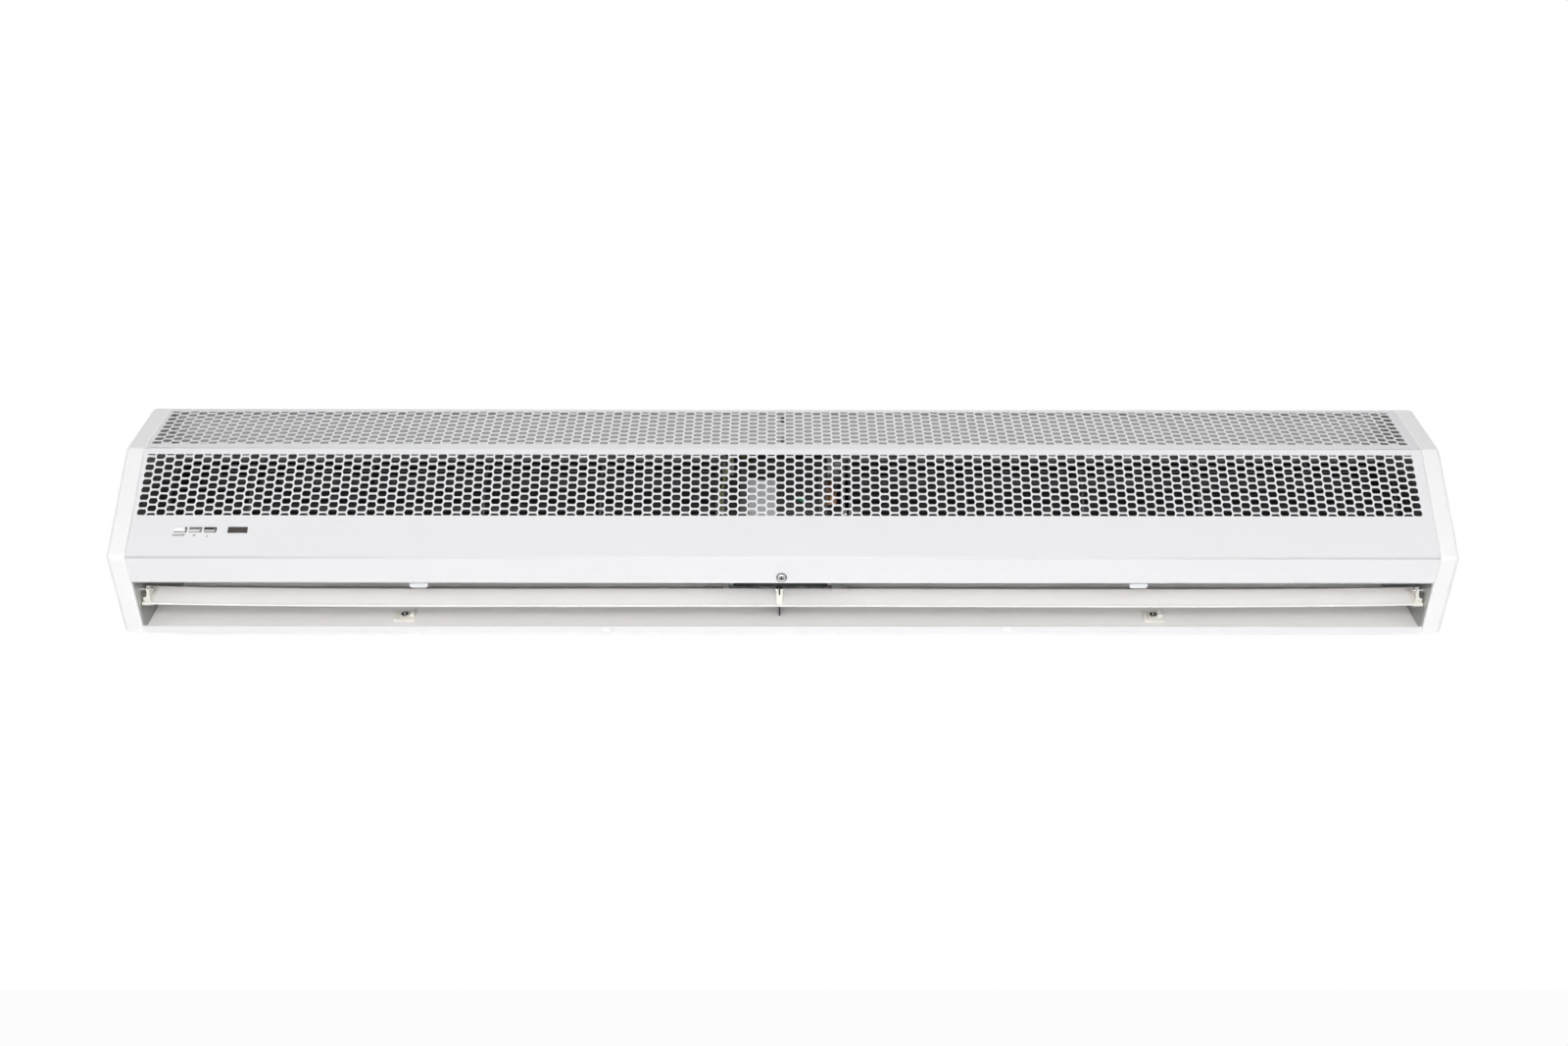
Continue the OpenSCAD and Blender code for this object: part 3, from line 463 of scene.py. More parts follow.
# From one column of openings to the next, half of a row's pitch, and the middle column's place
COLUMN, HALF_ROW, SHIFT = 8.54, 3.735, -2.8
LAST_COLUMN = 67
ROWS = range(-1, 17)
# For each face, where its first row lies and its band begins and ends, from the fold
FRONT_ROW, FRONT_BAND = 8.37, (6.0, 67.5)
TOP_ROW, TOP_BAND = 10.1, (8.0, 70.0)
BAND_MARGIN = 5.0
# The band is made of honeycomb cells, as (x, y) from a cell's middle
CELL_TIP = 5.087
CELL_SIDE = COLUMN - CELL_TIP
CELL = [(CELL_TIP, 0), (CELL_SIDE, HALF_ROW), (-CELL_SIDE, HALF_ROW),
        (-CELL_TIP, 0), (-CELL_SIDE, -HALF_ROW), (CELL_SIDE, -HALF_ROW)]
# A quarter of an opening's outline, and the whole
OPENING_QUARTER = [(3.9, 0.85), (3.45, 2.15), (2.45, 2.92)]
OPENING = [(x * a, y * b) for x in (-1, 1) for y in (-1, 1) for a, b in OPENING_QUARTER]
# An inset and a bevel give a cell twelve inner corners, which then move to the opening's outline
CELL_RIM, CELL_BEVEL = 0.5, 0.75
CELL_MERGE, CUT_SLACK, BORDER_SLACK = 0.02, 1e-4, 1e-3

# Keys and the receiver's window: their places along the unit, down from the fold, and their sizes
KEY_DROP, KEY_TALL, KEY_WIDE, CUT = 81.8, 4.6, 10.2, 0.35
KEY_X = [-537.2, -524.05, -510.9]
WINDOW_X, WINDOW_WIDE, WINDOW_TALL = -486.6, 17.0, 5.4


def direction(spot):
    """The way to a spot from the middle, to sort an outline by"""
    return math.atan2(spot[1], spot[0])


def cell(name, opened):
    """The mesh of one honeycomb cell of the sheet, with its opening or plain"""
    bm = bmesh.new()
    made = bmesh.ops.create_circle(bm, cap_ends=True, segments=len(CELL), radius=1.0)["verts"]
    for corner, (x, y) in zip(made, CELL):
        corner.co = Vector((x, y, 0))
    if opened:
        face = next(iter(bm.faces))
        bmesh.ops.inset_individual(bm, faces=[face], thickness=CELL_RIM, use_even_offset=True)
        bmesh.ops.bevel(bm, geom=list(face.verts), offset=CELL_BEVEL, offset_type="OFFSET", segments=1,
                        profile=0.5, affect="VERTICES", material=-1)
        inner = max(bm.faces, key=lambda f: len(f.verts))
        corners = sorted(inner.verts, key=lambda v: direction(v.co))
        for corner, (x, y) in zip(corners, sorted(OPENING, key=direction)):
            corner.co = Vector((x, y, 0))
        bmesh.ops.delete(bm, geom=[inner], context="FACES_ONLY")
    return as_mesh(bm, name)


def stamped(bm, source, u, v):
    """A copy of a small mesh at a place"""
    shifted = source.copy()
    shifted.transform(Matrix.Translation((u, v, 0)))
    bm.from_mesh(shifted)
    bpy.data.meshes.remove(shifted)


def column(name, source, first_row, parity):
    """One column of cells: every other row"""
    bm = bmesh.new()
    for k in ROWS:
        if k % 2 == parity:
            stamped(bm, source, 0, first_row + HALF_ROW * k)
    return as_mesh(bm, name)


def punched_face(first_row, odd, band, across, holes):
    """A flat face with its band of openings, drawn in x and the distance from the fold.
    band and across are the limits of the band and the face; holes are plain rectangles"""
    opened, plain = cell("opened_cell", True), cell("plain_cell", False)
    columns = [column("column", opened, first_row, parity) for parity in (odd, 1 - odd)]
    ends = [column("end_column", plain, first_row, parity) for parity in (odd, 1 - odd)]
    bm = bmesh.new()
    for i in range(-LAST_COLUMN, LAST_COLUMN + 1):
        stamped(bm, columns[i % 2], SHIFT + i * COLUMN, 0)
    for i in (-LAST_COLUMN - 1, LAST_COLUMN + 1):
        stamped(bm, ends[i % 2], SHIFT + i * COLUMN, 0)
    for mesh in (opened, plain, *columns, *ends):
        bpy.data.meshes.remove(mesh)
    bmesh.ops.remove_doubles(bm, verts=bm.verts, dist=CELL_MERGE)
    # The band is cut straight on all four sides, and its border gets an edge all round
    reach = LAST_COLUMN * COLUMN + BAND_MARGIN
    left, right = SHIFT - reach, SHIFT + reach
    low, high = band
    for spot, way in (((left, 0, 0), (-1, 0, 0)), ((right, 0, 0), (1, 0, 0)),
                      ((0, low, 0), (0, -1, 0)), ((0, high, 0), (0, 1, 0))):
        bmesh.ops.bisect_plane(bm, geom=[*bm.verts, *bm.edges, *bm.faces], dist=CUT_SLACK,
                               plane_co=spot, plane_no=way, clear_outer=True)
    border = set()
    for axis, value in ((0, left), (0, right), (1, low), (1, high)):
        line = sorted((v for v in bm.verts if abs(v.co[axis] - value) < BORDER_SLACK),
                      key=lambda v: v.co[1 - axis])
        for a, b in zip(line, line[1:]):
            border.add(bm.edges.get((a, b)) or bm.edges.new((a, b)))
    loops = []
    for x0, x1, y0, y1 in [(-SHEET_HALF, SHEET_HALF, *across), *holes]:
        loops += ring(bm, [Vector((x, y, 0)) for x, y in ((x0, y0), (x1, y0), (x1, y1), (x0, y1))])
    fill(bm, loops + list(border))
    return bm


def hole(x, wide, tall):
    """A hole of the plain panel, a little larger than what stands in it"""
    return (x - wide / 2 - CUT, x + wide / 2 + CUT, KEY_DROP - tall / 2 - CUT, KEY_DROP + tall / 2 + CUT)


def front_cover():
    path = [COVER_BACK, TOP, FOLD, NOSE, CHIN, CHIN + CHIN_FLANGE * INWARD]
    top_bend, fold_bend, nose_bend, chin_bend = [
        arc(path[i], path[i - 1], path[i + 1], BEND, BEND_STEPS) for i in range(1, 5)]
    # The two punched faces lie between the bends of the sheet
    front_ends = (fold_bend[-1] - FOLD).length, (nose_bend[0] - FOLD).length
    top_ends = (fold_bend[0] - FOLD).length, (top_bend[-1] - FOLD).length
    holes = [hole(x, KEY_WIDE, KEY_TALL) for x in KEY_X] + [hole(WINDOW_X, WINDOW_WIDE, WINDOW_TALL)]
    front = punched_face(FRONT_ROW, 0, FRONT_BAND, front_ends, holes)
    onto(front, FOLD, FRONT_WAY)
    top = punched_face(TOP_ROW, 1, TOP_BAND, top_ends, [])
    onto(top, FOLD, TOP_WAY)
    bm = bmesh.new()
    add(bm, front)
    add(bm, top)
    for strip in ([COVER_BACK, *top_bend], fold_bend, [*nose_bend, *chin_bend, path[-1]]):
        left, right = at_x(-SHEET_HALF, strip), at_x(SHEET_HALF, strip)
        for i in range(len(strip) - 1):
            bm.faces.new([bm.verts.new(p) for p in (left[i], right[i], right[i + 1], left[i + 1])])
    bmesh.ops.remove_doubles(bm, verts=bm.verts, dist=CELL_MERGE * MM)
    bmesh.ops.recalc_face_normals(bm, faces=bm.faces)
    # On an open sheet the face nearest to the front tells which side is the outer one
    nose_face = min(bm.faces, key=lambda f: f.calc_center_median().y)
    if nose_face.normal.y > 0:
        bmesh.ops.reverse_faces(bm, faces=bm.faces)
    ways = [b - a for a, b in zip(path, path[1:])]
    obj = piece("cover", bm, "cover_paint", "casing", "front_cover",
                planes=[Vector((0, -w.y, w.x)).normalized() for w in ways])
    sheet = obj.modifiers.new("sheet", "SOLIDIFY")
    sheet.thickness, sheet.offset, sheet.use_even_offset = SHEET_THICK * MM, -1.0, False


front_cover()


# Screws: rounded heads with a cross recess, drawn from the middle of the seat

# One arm of the cross, and the angles at which the head's rings meet its points
ARM = [(0.9, -0.36), (1.95, -0.36), (1.95, 0.0), (1.95, 0.36), (0.9, 0.36), (0.36, 0.36)]
ARM_ANGLES = [-27, -12, 0, 12, 27, 45]
QUARTERS = [0, 90, 180, 270]
CROSS = [(u * math.cos(t) - v * math.sin(t), u * math.sin(t) + v * math.cos(t))
         for t in [math.radians(q) for q in QUARTERS] for u, v in ARM]
# The head's rings as (radius, height), up to the recess, and the recess's floor
SHANK_R = 2.0
HEAD = [(SHANK_R, 0.0), (3.1, 0.0), (3.1, 0.5), (2.95, 1.0), (2.6, 1.45), (2.25, 1.7)]
HEAD_TALL = 1.85
RECESS_FLOOR, RECESS_SHARE = 0.7, 0.6
# The chin's screw has a wider head, a black ring under it that paints the shadow gap round the head, and a
# black cross in its recess that paints the shade in the recess
CHIN_SCREW_X, CHIN_SCREW, CHIN_SCREW_WIDE, CHIN_SHANK = -1.8, NOSE + 20.9 * CHIN_WAY, 1.3, 8.0
SHADOW_RING = [(2.7, 0.0), (4.7, 0.0), (4.7, 0.3), (2.7, 0.3)]
RECESS_SHADE_SHARE, RECESS_SHADE_HEIGHTS = 0.86, (0.75, 1.5)
# The caps' screws sit in round recesses
CAP_SCREWS = [Vector((-45.0, 40.0)), Vector((-45.0, 172.0))]
CAP_RECESS_DEEP, CAP_RECESS_R, CAP_SHANK = 2.4, 3.6, 15.0


def on_chin(u, v, h):
    """A point round the chin's screw: u along the unit, v down the chin, h outwards"""
    return point(CHIN_SCREW_X + u, *(CHIN_SCREW + CHIN_WAY * v - INWARD * h))


def on_cap(side, spot):
    """The same for a screw in an end cap"""
    seat = side * (CAP_OUTER - CAP_RECESS_DEEP)
    return lambda u, v, h: point(seat + side * h, *(spot + Vector((v, side * u))))


def screw(bm, place, shank, wide=1.0):
    """A pan head screw, its head widened by a factor. place puts its points on the unit"""
    angles = [math.radians(a + q) for q in QUARTERS for a in ARM_ANGLES]
    rings = [[(*polar(r, a), h) for a in angles] for r, h in HEAD]
    rings += [[(u, v, HEAD_TALL) for u, v in CROSS],
              [(RECESS_SHARE * u, RECESS_SHARE * v, RECESS_FLOOR) for u, v in CROSS]]
    tip = [place(*polar(SHANK_R, a), -shank) for a in angles]
    solid(bm, [tip] + [[place(wide * u, wide * v, h) for u, v, h in r] for r in rings])


def chin_screw():
    bm = bmesh.new()
    screw(bm, on_chin, CHIN_SHANK, CHIN_SCREW_WIDE)
    tidy_normals(bm)
    piece("screw_at_chin", bm, "screw_chrome", "casing", "cover_screw", smooth=50.0)


# A black ring and a black cross paint the shadow gap under the chin screw's head and the shade in its
# recess
def shadow_ring_and_recess_shade():
    bm = bmesh.new()
    loft(bm, [[on_chin(*polar(r, a), h) for a in turns(36)] for r, h in SHADOW_RING + SHADOW_RING[:1]])
    share = RECESS_SHADE_SHARE * CHIN_SCREW_WIDE
    solid(bm, [[on_chin(share * u, share * v, h) for u, v in CROSS] for h in RECESS_SHADE_HEIGHTS])
    tidy_normals(bm)
    piece("shadow_ring_at_chin", bm, "black_rubber", "casing")


def screws_at_caps():
    bm = bmesh.new()
    for side in (-1, 1):
        for spot in CAP_SCREWS:
            screw(bm, on_cap(side, spot), CAP_SHANK)
    tidy_normals(bm)
    piece("screws_at_caps", bm, "screw_chrome", "casing", "cap_screws", smooth=50.0)


chin_screw()
shadow_ring_and_recess_shade()
screws_at_caps()


# Switches: white keys with coloured pads, the receiver's window, and plain lettering

# Limits along the unit, down the panel and outwards from its face, and the edges' rounding
STEM = (-5.1, 4.1), (-1.9, 1.7), (-12.0, 1.5), 0.3
PAD = (-5.0, 4.0), (-1.85, 0.7), (0.9, 2.1), 0.35
WINDOW = (-WINDOW_WIDE / 2, WINDOW_WIDE / 2), (-WINDOW_TALL / 2, WINDOW_TALL / 2), (-1.0, 0.3), 0.25
# For each key, the finish of its pad and of its stem
KEY_FINISHES = [("power", "key_white", "key_white"), ("high", "key_grey", "key_white"),
                ("low", "key_dark", "key_pale")]
LETTERS = [("ON/OFF", -538.5, 87.0), ("H", -524.6, 87.1), ("L", -512.8, 87.9)]
LETTER_TALL, LETTER_THICK, LETTER_BOLD = 3.0, 0.03, 0.07


def on_panel(name, slot, body, x, limits, *nodes):
    """A rounded block on the plain panel, in line with the keys"""
    across, drops, heights, edge = limits
    bm = bmesh.new()
    block(bm, (x + across[0], KEY_DROP + drops[0], heights[0]),
          (x + across[1], KEY_DROP + drops[1], heights[1]), edge, 3)
    onto(bm, FOLD, FRONT_WAY, FRONT_OUT)
    bmesh.ops.recalc_face_normals(bm, faces=bm.faces)
    piece(name, bm, slot, body, *nodes)


def lettering(text, x, drop):
    drawn = bpy.data.curves.new("drawn", "FONT")
    drawn.body, drawn.size, drawn.align_x, drawn.align_y = text, LETTER_TALL, "CENTER", "CENTER"
    drawn.extrude, drawn.offset = LETTER_THICK, LETTER_BOLD
    carrier = bpy.data.objects.new("carrier", drawn)
    bpy.context.scene.collection.objects.link(carrier)
    flat = bpy.data.meshes.new_from_object(carrier)
    bpy.data.objects.remove(carrier)
    bpy.data.curves.remove(drawn)
    bm = bmesh.new()
    bm.from_mesh(flat)
    bpy.data.meshes.remove(flat)
    for v in bm.verts:
        v.co = Vector((x + v.co.x, drop - v.co.y, v.co.z + LETTER_THICK))
    onto(bm, FOLD, FRONT_WAY, FRONT_OUT)
    tidy_normals(bm)
    piece("letters_" + text[0].lower(), bm, "wire_grey", "casing")


for x, (name, upper, lower) in zip(KEY_X, KEY_FINISHES):
    on_panel("key_" + name + "_stem", lower, name + "_key", x, STEM, "key_" + name)
    on_panel("key_" + name + "_pad", upper, name + "_key", x, PAD)
on_panel("window", "window_brown", "casing", WINDOW_X, WINDOW, "receiver_window")
for text, x, drop in LETTERS:
    lettering(text, x, drop)


# Vane: one extruded blade that sags between its supports, ivory ends and a clip at the middle

PIVOT = Vector((-144.0, 38.0))
VANE_FRONT, VANE_BACK = PIVOT + Vector((-3.0, -13.0)), PIVOT + Vector((13.0, 4.0))
VANE_WAY = (VANE_BACK - VANE_FRONT).normalized()
VANE_OUT = Vector((-VANE_WAY.y, VANE_WAY.x))
VANE_LONG = (VANE_BACK - VANE_FRONT).length
VANE_HALF, VANE_MID = 572.2, -3.6
# How far the blade hangs at its middle, and how strongly it bellies between there and its ends
SAG, BELLY = 1.7, 2.4
# Widths of the blade and its end pieces as shares of the vane's, thicknesses and beads
BLADE_SHARE, BLADE_THICK, BLADE_BEAD, BLADE_HOLLOW = 0.96, 1.5, 0.85, 0.2
END_SHARE, END_THICK, END_BEAD, END_LAP = 0.97, 2.3, 1.75, 0.8
# At the middle clip only a strip along the front edge goes through
SLOT_HALF, SLOT_STRIP = 1.5, 4.0
STATIONS = 22
# The pivot's eye, in the vane's own plane, and the foot and back of the cheek that carries it
EYE = Vector(((PIVOT - VANE_FRONT).dot(VANE_WAY), (PIVOT - VANE_FRONT).dot(VANE_OUT)))
EYE_R, EYE_BORE_R = 3.3, 1.65
CHEEK_FOOT, CHEEK_END = 2.6, 19.0
CHEEK_FRONT = [(CHEEK_FOOT + 0.6, 0.6), (CHEEK_FOOT + 2.6, 2.6)]
CHEEK_BACK = [(16.4, 3.2), (17.6, 1.2), (CHEEK_END, 0.3)]
END_SUNK, CLIP_SUNK = 0.5, 1.8
NIB = [(2.2, -0.4), (2.2, 3.4), (3.6, 4.2), (4.6, 3.0), (5.4, -0.4)]
BRIDGE = [(1.8, -CLIP_SUNK), (2.4, 0.6), (6.4, 4.6), (7.6, 3.8), (4.8, 0.4), (5.2, -CLIP_SUNK)]
# Limits along the unit: of an end piece's cheek and nib, and from the middle of the clip
END_CHEEK_X, NIB_X = (575.2, 577.6), (573.4, 579.6)
CLIP_CHEEK_X, CLIP_EYE_X, BRIDGE_HALF = (0.8, 2.7), (0.9, 2.6), 2.4


def on_vane(x, loop, drop=0.0):
    """A loop drawn in the distance from the front edge and the height over the blade's face"""
    spots = [VANE_FRONT + VANE_WAY * s + VANE_OUT * n for s, n in loop]
    return [point(x, p.x, p.y - drop) for p in spots]


def sag(x):
    """How far the blade hangs at a place: not at all at its ends"""
    share = min(1.0, abs(x) / VANE_HALF)
    return SAG * (1 - share ** 4) + BELLY * share ** 2 * (1 - share ** 2)


def blade_section(back, thick, bead):
    """The face is slightly hollow and ends in a round bead along the front edge"""
    face = [(back * t, -BLADE_HOLLOW * 4 * t * (1 - t)) for t in (1.0, 0.8, 0.6, 0.4, 0.2)]
    lip = math.degrees(math.asin(thick / 2 / bead))
    front = []
    for k in range(13):
        u, v = polar(bead, math.radians(lip + (360 - 2 * lip) * k / 12))
        front.append((thick / 2 + u, v - thick / 2))
    return face + front + [(s, n - thick) for s, n in reversed(face)]


def vane_blade():
    bm = bmesh.new()
    whole = blade_section(VANE_LONG * BLADE_SHARE, BLADE_THICK, BLADE_BEAD)
    strip = blade_section(SLOT_STRIP, BLADE_THICK, BLADE_BEAD)
    slot = [VANE_MID - SLOT_HALF, VANE_MID + SLOT_HALF]
    left = [-VANE_HALF + (slot[0] + VANE_HALF) * k / STATIONS for k in range(STATIONS + 1)]
    right = [slot[1] + (VANE_HALF - slot[1]) * k / STATIONS for k in range(STATIONS + 1)]
    solid(bm, [on_vane(x, section, sag(x))
               for section, places in ((whole, left), (strip, slot), (whole, right)) for x in places])
    tidy_normals(bm)
    piece("vane_strip", bm, "vane_plastic", "vane", "vane_blade")


def round_eye(*stretches):
    """Part of the pivot's eye: for each stretch its radius, start and end in degrees, and steps"""
    out = []
    for radius, start, end, steps in stretches:
        for k in range(steps + 1):
            u, v = polar(radius, math.radians(start + (end - start) * k / steps))
            out.append((EYE.x + u, EYE.y + v))
    return out


def cheek(sunk, eye):
    """A web from the blade up to the pivot's eye"""
    return [(CHEEK_FOOT, -sunk), *CHEEK_FRONT, *eye, *CHEEK_BACK, (CHEEK_END, -sunk)]


# The ends' eyes are split at the top. The clip's ivory lower half carries a black upper half, which paints
# the shade inside the clip's eye
SPLIT_EYE = round_eye((EYE_R, 190, 136, 5), (EYE_BORE_R, 140, 468, 14), (EYE_R, 112, -28, 10))
LOWER_EYE = round_eye((EYE_R, 190, 134, 5), (EYE_BORE_R, 134, 313, 8), (EYE_R, 313, 332, 2))
UPPER_EYE = round_eye((EYE_R, 112, -46, 8), (EYE_BORE_R, -46, 112, 8))


def slab(bm, section, x0, x1):
    """A section in the vane's plane, drawn out along the unit"""
    solid(bm, [on_vane(x, section) for x in (x0, x1)])


def vane_end(name, side, node):
    bm = bmesh.new()
    section = blade_section(VANE_LONG * END_SHARE, END_THICK, END_BEAD)
    slab(bm, section, side * (VANE_HALF - END_LAP), side * DUCT_HALF)
    slab(bm, cheek(END_SUNK, SPLIT_EYE), *[side * x for x in END_CHEEK_X])
    slab(bm, NIB, *[side * x for x in NIB_X])
    tidy_normals(bm)
    piece(name, bm, "ivory_plastic", "vane", node)


def vane_clip():
    bm, eyes = bmesh.new(), bmesh.new()
    for side in (-1, 1):
        slab(bm, cheek(CLIP_SUNK, LOWER_EYE), *[VANE_MID + side * x for x in CLIP_CHEEK_X])
        slab(eyes, UPPER_EYE, *[VANE_MID + side * x for x in CLIP_EYE_X])
    slab(bm, BRIDGE, VANE_MID - BRIDGE_HALF, VANE_MID + BRIDGE_HALF)
    tidy_normals(bm)
    tidy_normals(eyes)
    piece("clip_at_middle", bm, "ivory_plastic", "vane", "vane_clip")
    # The clip's black upper eyes are painted shade
    piece("clip_eyes_shade", eyes, "black_plastic", "vane")


vane_blade()
vane_end("vane_hook_left", -1, "vane_end_left")
vane_end("vane_hook_right", 1, "vane_end_right")
vane_clip()


# Small parts along the outlet: lugs under the cover's edge, clips on the duct floor, tabs on the lip

LUG_X, LUG_HALF = (-326.52, 318.0), 8.0
# A lug hangs below the chin's edge, and its tail lies behind the sheet at a small gap
LUG_DROP, LUG_TAIL, LUG_THICK, LUG_GAP = 4.5, 9.0, 1.0, 0.3
LUG_ROUND, LUG_STEPS = 2.4, 5

# The duct floor starts behind the lip and rises at a slope
DUCT_FLOOR = TOE - 3.0 * CHIN_WAY + 1.5 * INWARD
DUCT_WAY = Vector(polar(1.0, math.radians(38)))
DUCT_OUT = Vector((-DUCT_WAY.y, DUCT_WAY.x))
FLOOR_CLIP_X = (-348.18, 340.32)
# The clip's plate, its two ribs and its catch: two corners, the edges' rounding and its steps
FLOOR_CLIP = [((-9.5, 10.0, 0.0), (9.5, 26.0, 1.0), 0.3, 2), ((-8.6, 10.6, 0.6), (-6.2, 24.8, 2.2), 0.5, 2),
              ((-5.2, 11.0, 0.6), (-4.4, 21.0, 1.7), 0.3, 2), ((4.6, 16.0, 0.6), (9.0, 25.2, 3.4), 0.8, 3)]

# The tabs' limits along the unit and up from the toe
TAB_X, TAB_DEPTHS = ((-164.8, -158.6), (199.6, 207.0)), (5.2, 0.4)
TAB_THICK, TAB_EDGE = 0.35, 0.12


def lugs():
    """Hooks of thin sheet with rounded lower corners"""
    bm = bmesh.new()
    near, far = LUG_GAP, LUG_GAP + LUG_THICK
    steps = [LUG_ROUND * (1 - math.cos(math.pi / 2 * k / LUG_STEPS)) for k in range(LUG_STEPS + 1)]
    for middle in LUG_X:
        low, high = middle - LUG_HALF, middle + LUG_HALF
        rings = []
        for x in [low + d for d in steps] + [high - d for d in reversed(steps)]:
            reach = min(x - low, high - x, LUG_ROUND)
            drop = LUG_DROP - LUG_ROUND + math.sqrt(LUG_ROUND ** 2 - (LUG_ROUND - reach) ** 2)
            section = [(drop, near), (near, near), (near, near + LUG_TAIL), (far, near + LUG_TAIL),
                       (far, far), (drop, far)]
            rings.append([point(x, *(CHIN + CHIN_WAY * u + INWARD * v)) for u, v in section])
        solid(bm, rings)
    tidy_normals(bm)
    piece("lugs", bm, "cover_paint", "casing", "cover_lugs")


def floor_clips():
    bm = bmesh.new()
    for x in FLOOR_CLIP_X:
        one = bmesh.new()
        for low, high, edge, steps in FLOOR_CLIP:
            block(one, low, high, edge, steps)
        for v in one.verts:
            v.co.x += x
        onto(one, DUCT_FLOOR, DUCT_WAY, DUCT_OUT)
        add(bm, one)
    bmesh.ops.recalc_face_normals(bm, faces=bm.faces)
    piece("floor_clips", bm, "ivory_plastic", "casing", "duct_clips")


def lip_joints():
    """Pale tabs on the lip beside the ends of its separate middle stretch"""
    bm = bmesh.new()
    for x0, x1 in TAB_X:
        one = bmesh.new()
        block(one, (x0, TAB_DEPTHS[0], 0.0), (x1, TAB_DEPTHS[1], TAB_THICK), TAB_EDGE, 2)
        onto(one, TOE, -CHIN_WAY, -INWARD)
        add(bm, one)
    bmesh.ops.recalc_face_normals(bm, faces=bm.faces)
    piece("lip_joints", bm, "cap_plastic", "casing")


lugs()
floor_clips()
lip_joints()


# Moulded end caps, which stand a little out of the section

CAP_LOOP = [Vector((BACK, 0.0)), Vector((BACK, HEIGHT)), TOP, FOLD, NOSE, TOE]
CAP_MARGIN, CAP_CORNER = 0.6, 8.0
CAP_EDGE, CAP_WALL, CAP_FACE, CAP_GROOVE = 4.5, 2.5, 3.0, 1.0
CAP_STEPS = 7


def end_cap(name, side, node):
    """A shell open towards the unit, with rounded corners and two recesses for screws"""
    bm = bmesh.new()
    outline = []
    corners = inset(CAP_LOOP, -CAP_MARGIN)
    for i, corner in enumerate(corners):
        outline += arc(corner, corners[i - 1], corners[(i + 1) % len(corners)], CAP_CORNER, CAP_STEPS)
    # From the inside: the hollow's floor, the open rim, the groove and the rounded outer edge
    places = [(CAP_OUTER - CAP_FACE, CAP_WALL), (CAP_INNER, CAP_WALL), (CAP_INNER, CAP_GROOVE),
              (CAP_INNER + CAP_GROOVE, 0.0)]
    for k in range(CAP_STEPS + 1):
        turn = math.pi / 2 * k / CAP_STEPS
        places.append((CAP_OUTER - CAP_EDGE + CAP_EDGE * math.sin(turn), CAP_EDGE * (1 - math.cos(turn))))
    loops = loft(bm, [at_x(side * x, inset(outline, depth)) for x, depth in places])
    fill(bm, loops[0])
    holes = []
    for spot in CAP_SCREWS:
        around = [spot + CAP_RECESS_R * Vector(polar(1.0, t)) for t in turns(24)]
        recess = loft(bm, [at_x(side * (CAP_OUTER - deep), around) for deep in (0.0, CAP_RECESS_DEEP)])
        fill(bm, recess[1])
        holes += recess[0]
    fill(bm, loops[-1] + holes)
    tidy_normals(bm)
    piece(name, bm, "cap_plastic", "casing", node)


end_cap("cap_left", -1, "left_end_cap")
end_cap("cap_right", 1, "right_end_cap")


# Motor: slotted stack, lumpy coil heads, their black tape, and a label without print

FAN = Vector((-86.0, 112.0))
STACK_HALF, STACK_R = 40.0, 40.0
NOTCH_R, NOTCHES, STACK_POINTS = 38.9, 4, 96
# A tooth of the bore and the slot beside it, as (radius, degrees on from the tooth's start)
TEETH, TOOTH = 24, ((22.0, 0), (22.0, 10.5), (33.0, 10.9), (33.0, 14.6))
# Each coil spans an angle round the axis, stands out of the stack and bulges outwards
COILS, COIL_STEPS, COIL_SPAN, COIL_WIRE_R = 18, 14, 76.0, 2.5
COIL_X, COIL_TALL, COIL_TALLER = 39.5, 6.0, 2.4
COIL_R, COIL_BULGE = 28.4, 1.5
# Strips round the fan axis: limits along the unit, radii and degrees
LEFT_TAPE = (-52.5, -40.4), (36.2, 37.2), (80.0, 280.0)
RIGHT_TAPE = (40.4, 52.5), (36.2, 37.2), (171.0, 290.0)
LABEL = (-32.5, -7.5), (40.1, 40.4), (132.0, 196.0)
WRAP_STEPS = 24
# A black sheet behind the motor paints the bay's deep shade: its corners and rounding
SHADE_SHEET_LOW, SHADE_SHEET_HIGH, SHADE_SHEET_EDGE = (-49.4, -3.7, 4.0), (44.2, -3.1, 206.0), 0.2


def around_fan(x, radius, degrees):
    a = math.radians(degrees)
    return point(x, FAN.x + radius * math.cos(a), FAN.y + radius * math.sin(a))


def framed(path):
    """Each point of a path with two ways square to it"""
    out, side = [], None
    for i, p in enumerate(path):
        way = (path[min(i + 1, len(path) - 1)] - path[max(i - 1, 0)]).normalized()
        side = way.orthogonal() if side is None else side - way * side.dot(way)
        side.normalize()
        out.append((p, side.copy(), way.cross(side)))
    return out


def tube(bm, path, radius):
    """A round bar along a path, closed at both ends"""
    loops = [[bm.verts.new(p + radius * MM * (a * math.cos(t) + b * math.sin(t))) for t in turns(BAR_SIDES)]
             for p, a, b in framed(path)]
    for one, other in zip(loops, loops[1:]):
        for k in range(BAR_SIDES):
            bm.faces.new((one[k], one[k - 1], other[k - 1], other[k]))
    bm.faces.new(loops[0])
    bm.faces.new(reversed(loops[-1]))


def stack():
    """The stator's iron, with notches outside and teeth in the bore"""
    bm = bmesh.new()
    apart = STACK_POINTS // NOTCHES
    outer = [(NOTCH_R if k % apart < 2 else STACK_R, k * 360 / STACK_POINTS) for k in range(STACK_POINTS)]
    inner = [(r, k * 360 / TEETH + a) for k in range(TEETH) for r, a in TOOTH]
    walls = [loft(bm, [[around_fan(x, r, a) for r, a in outline] for x in (-STACK_HALF, STACK_HALF)])
             for outline in (outer, inner)]
    for end in (0, 1):
        fill(bm, walls[0][end] + walls[1][end])
    tidy_normals(bm)
    piece("stack", bm, "stator_iron", "casing", "motor_stator")


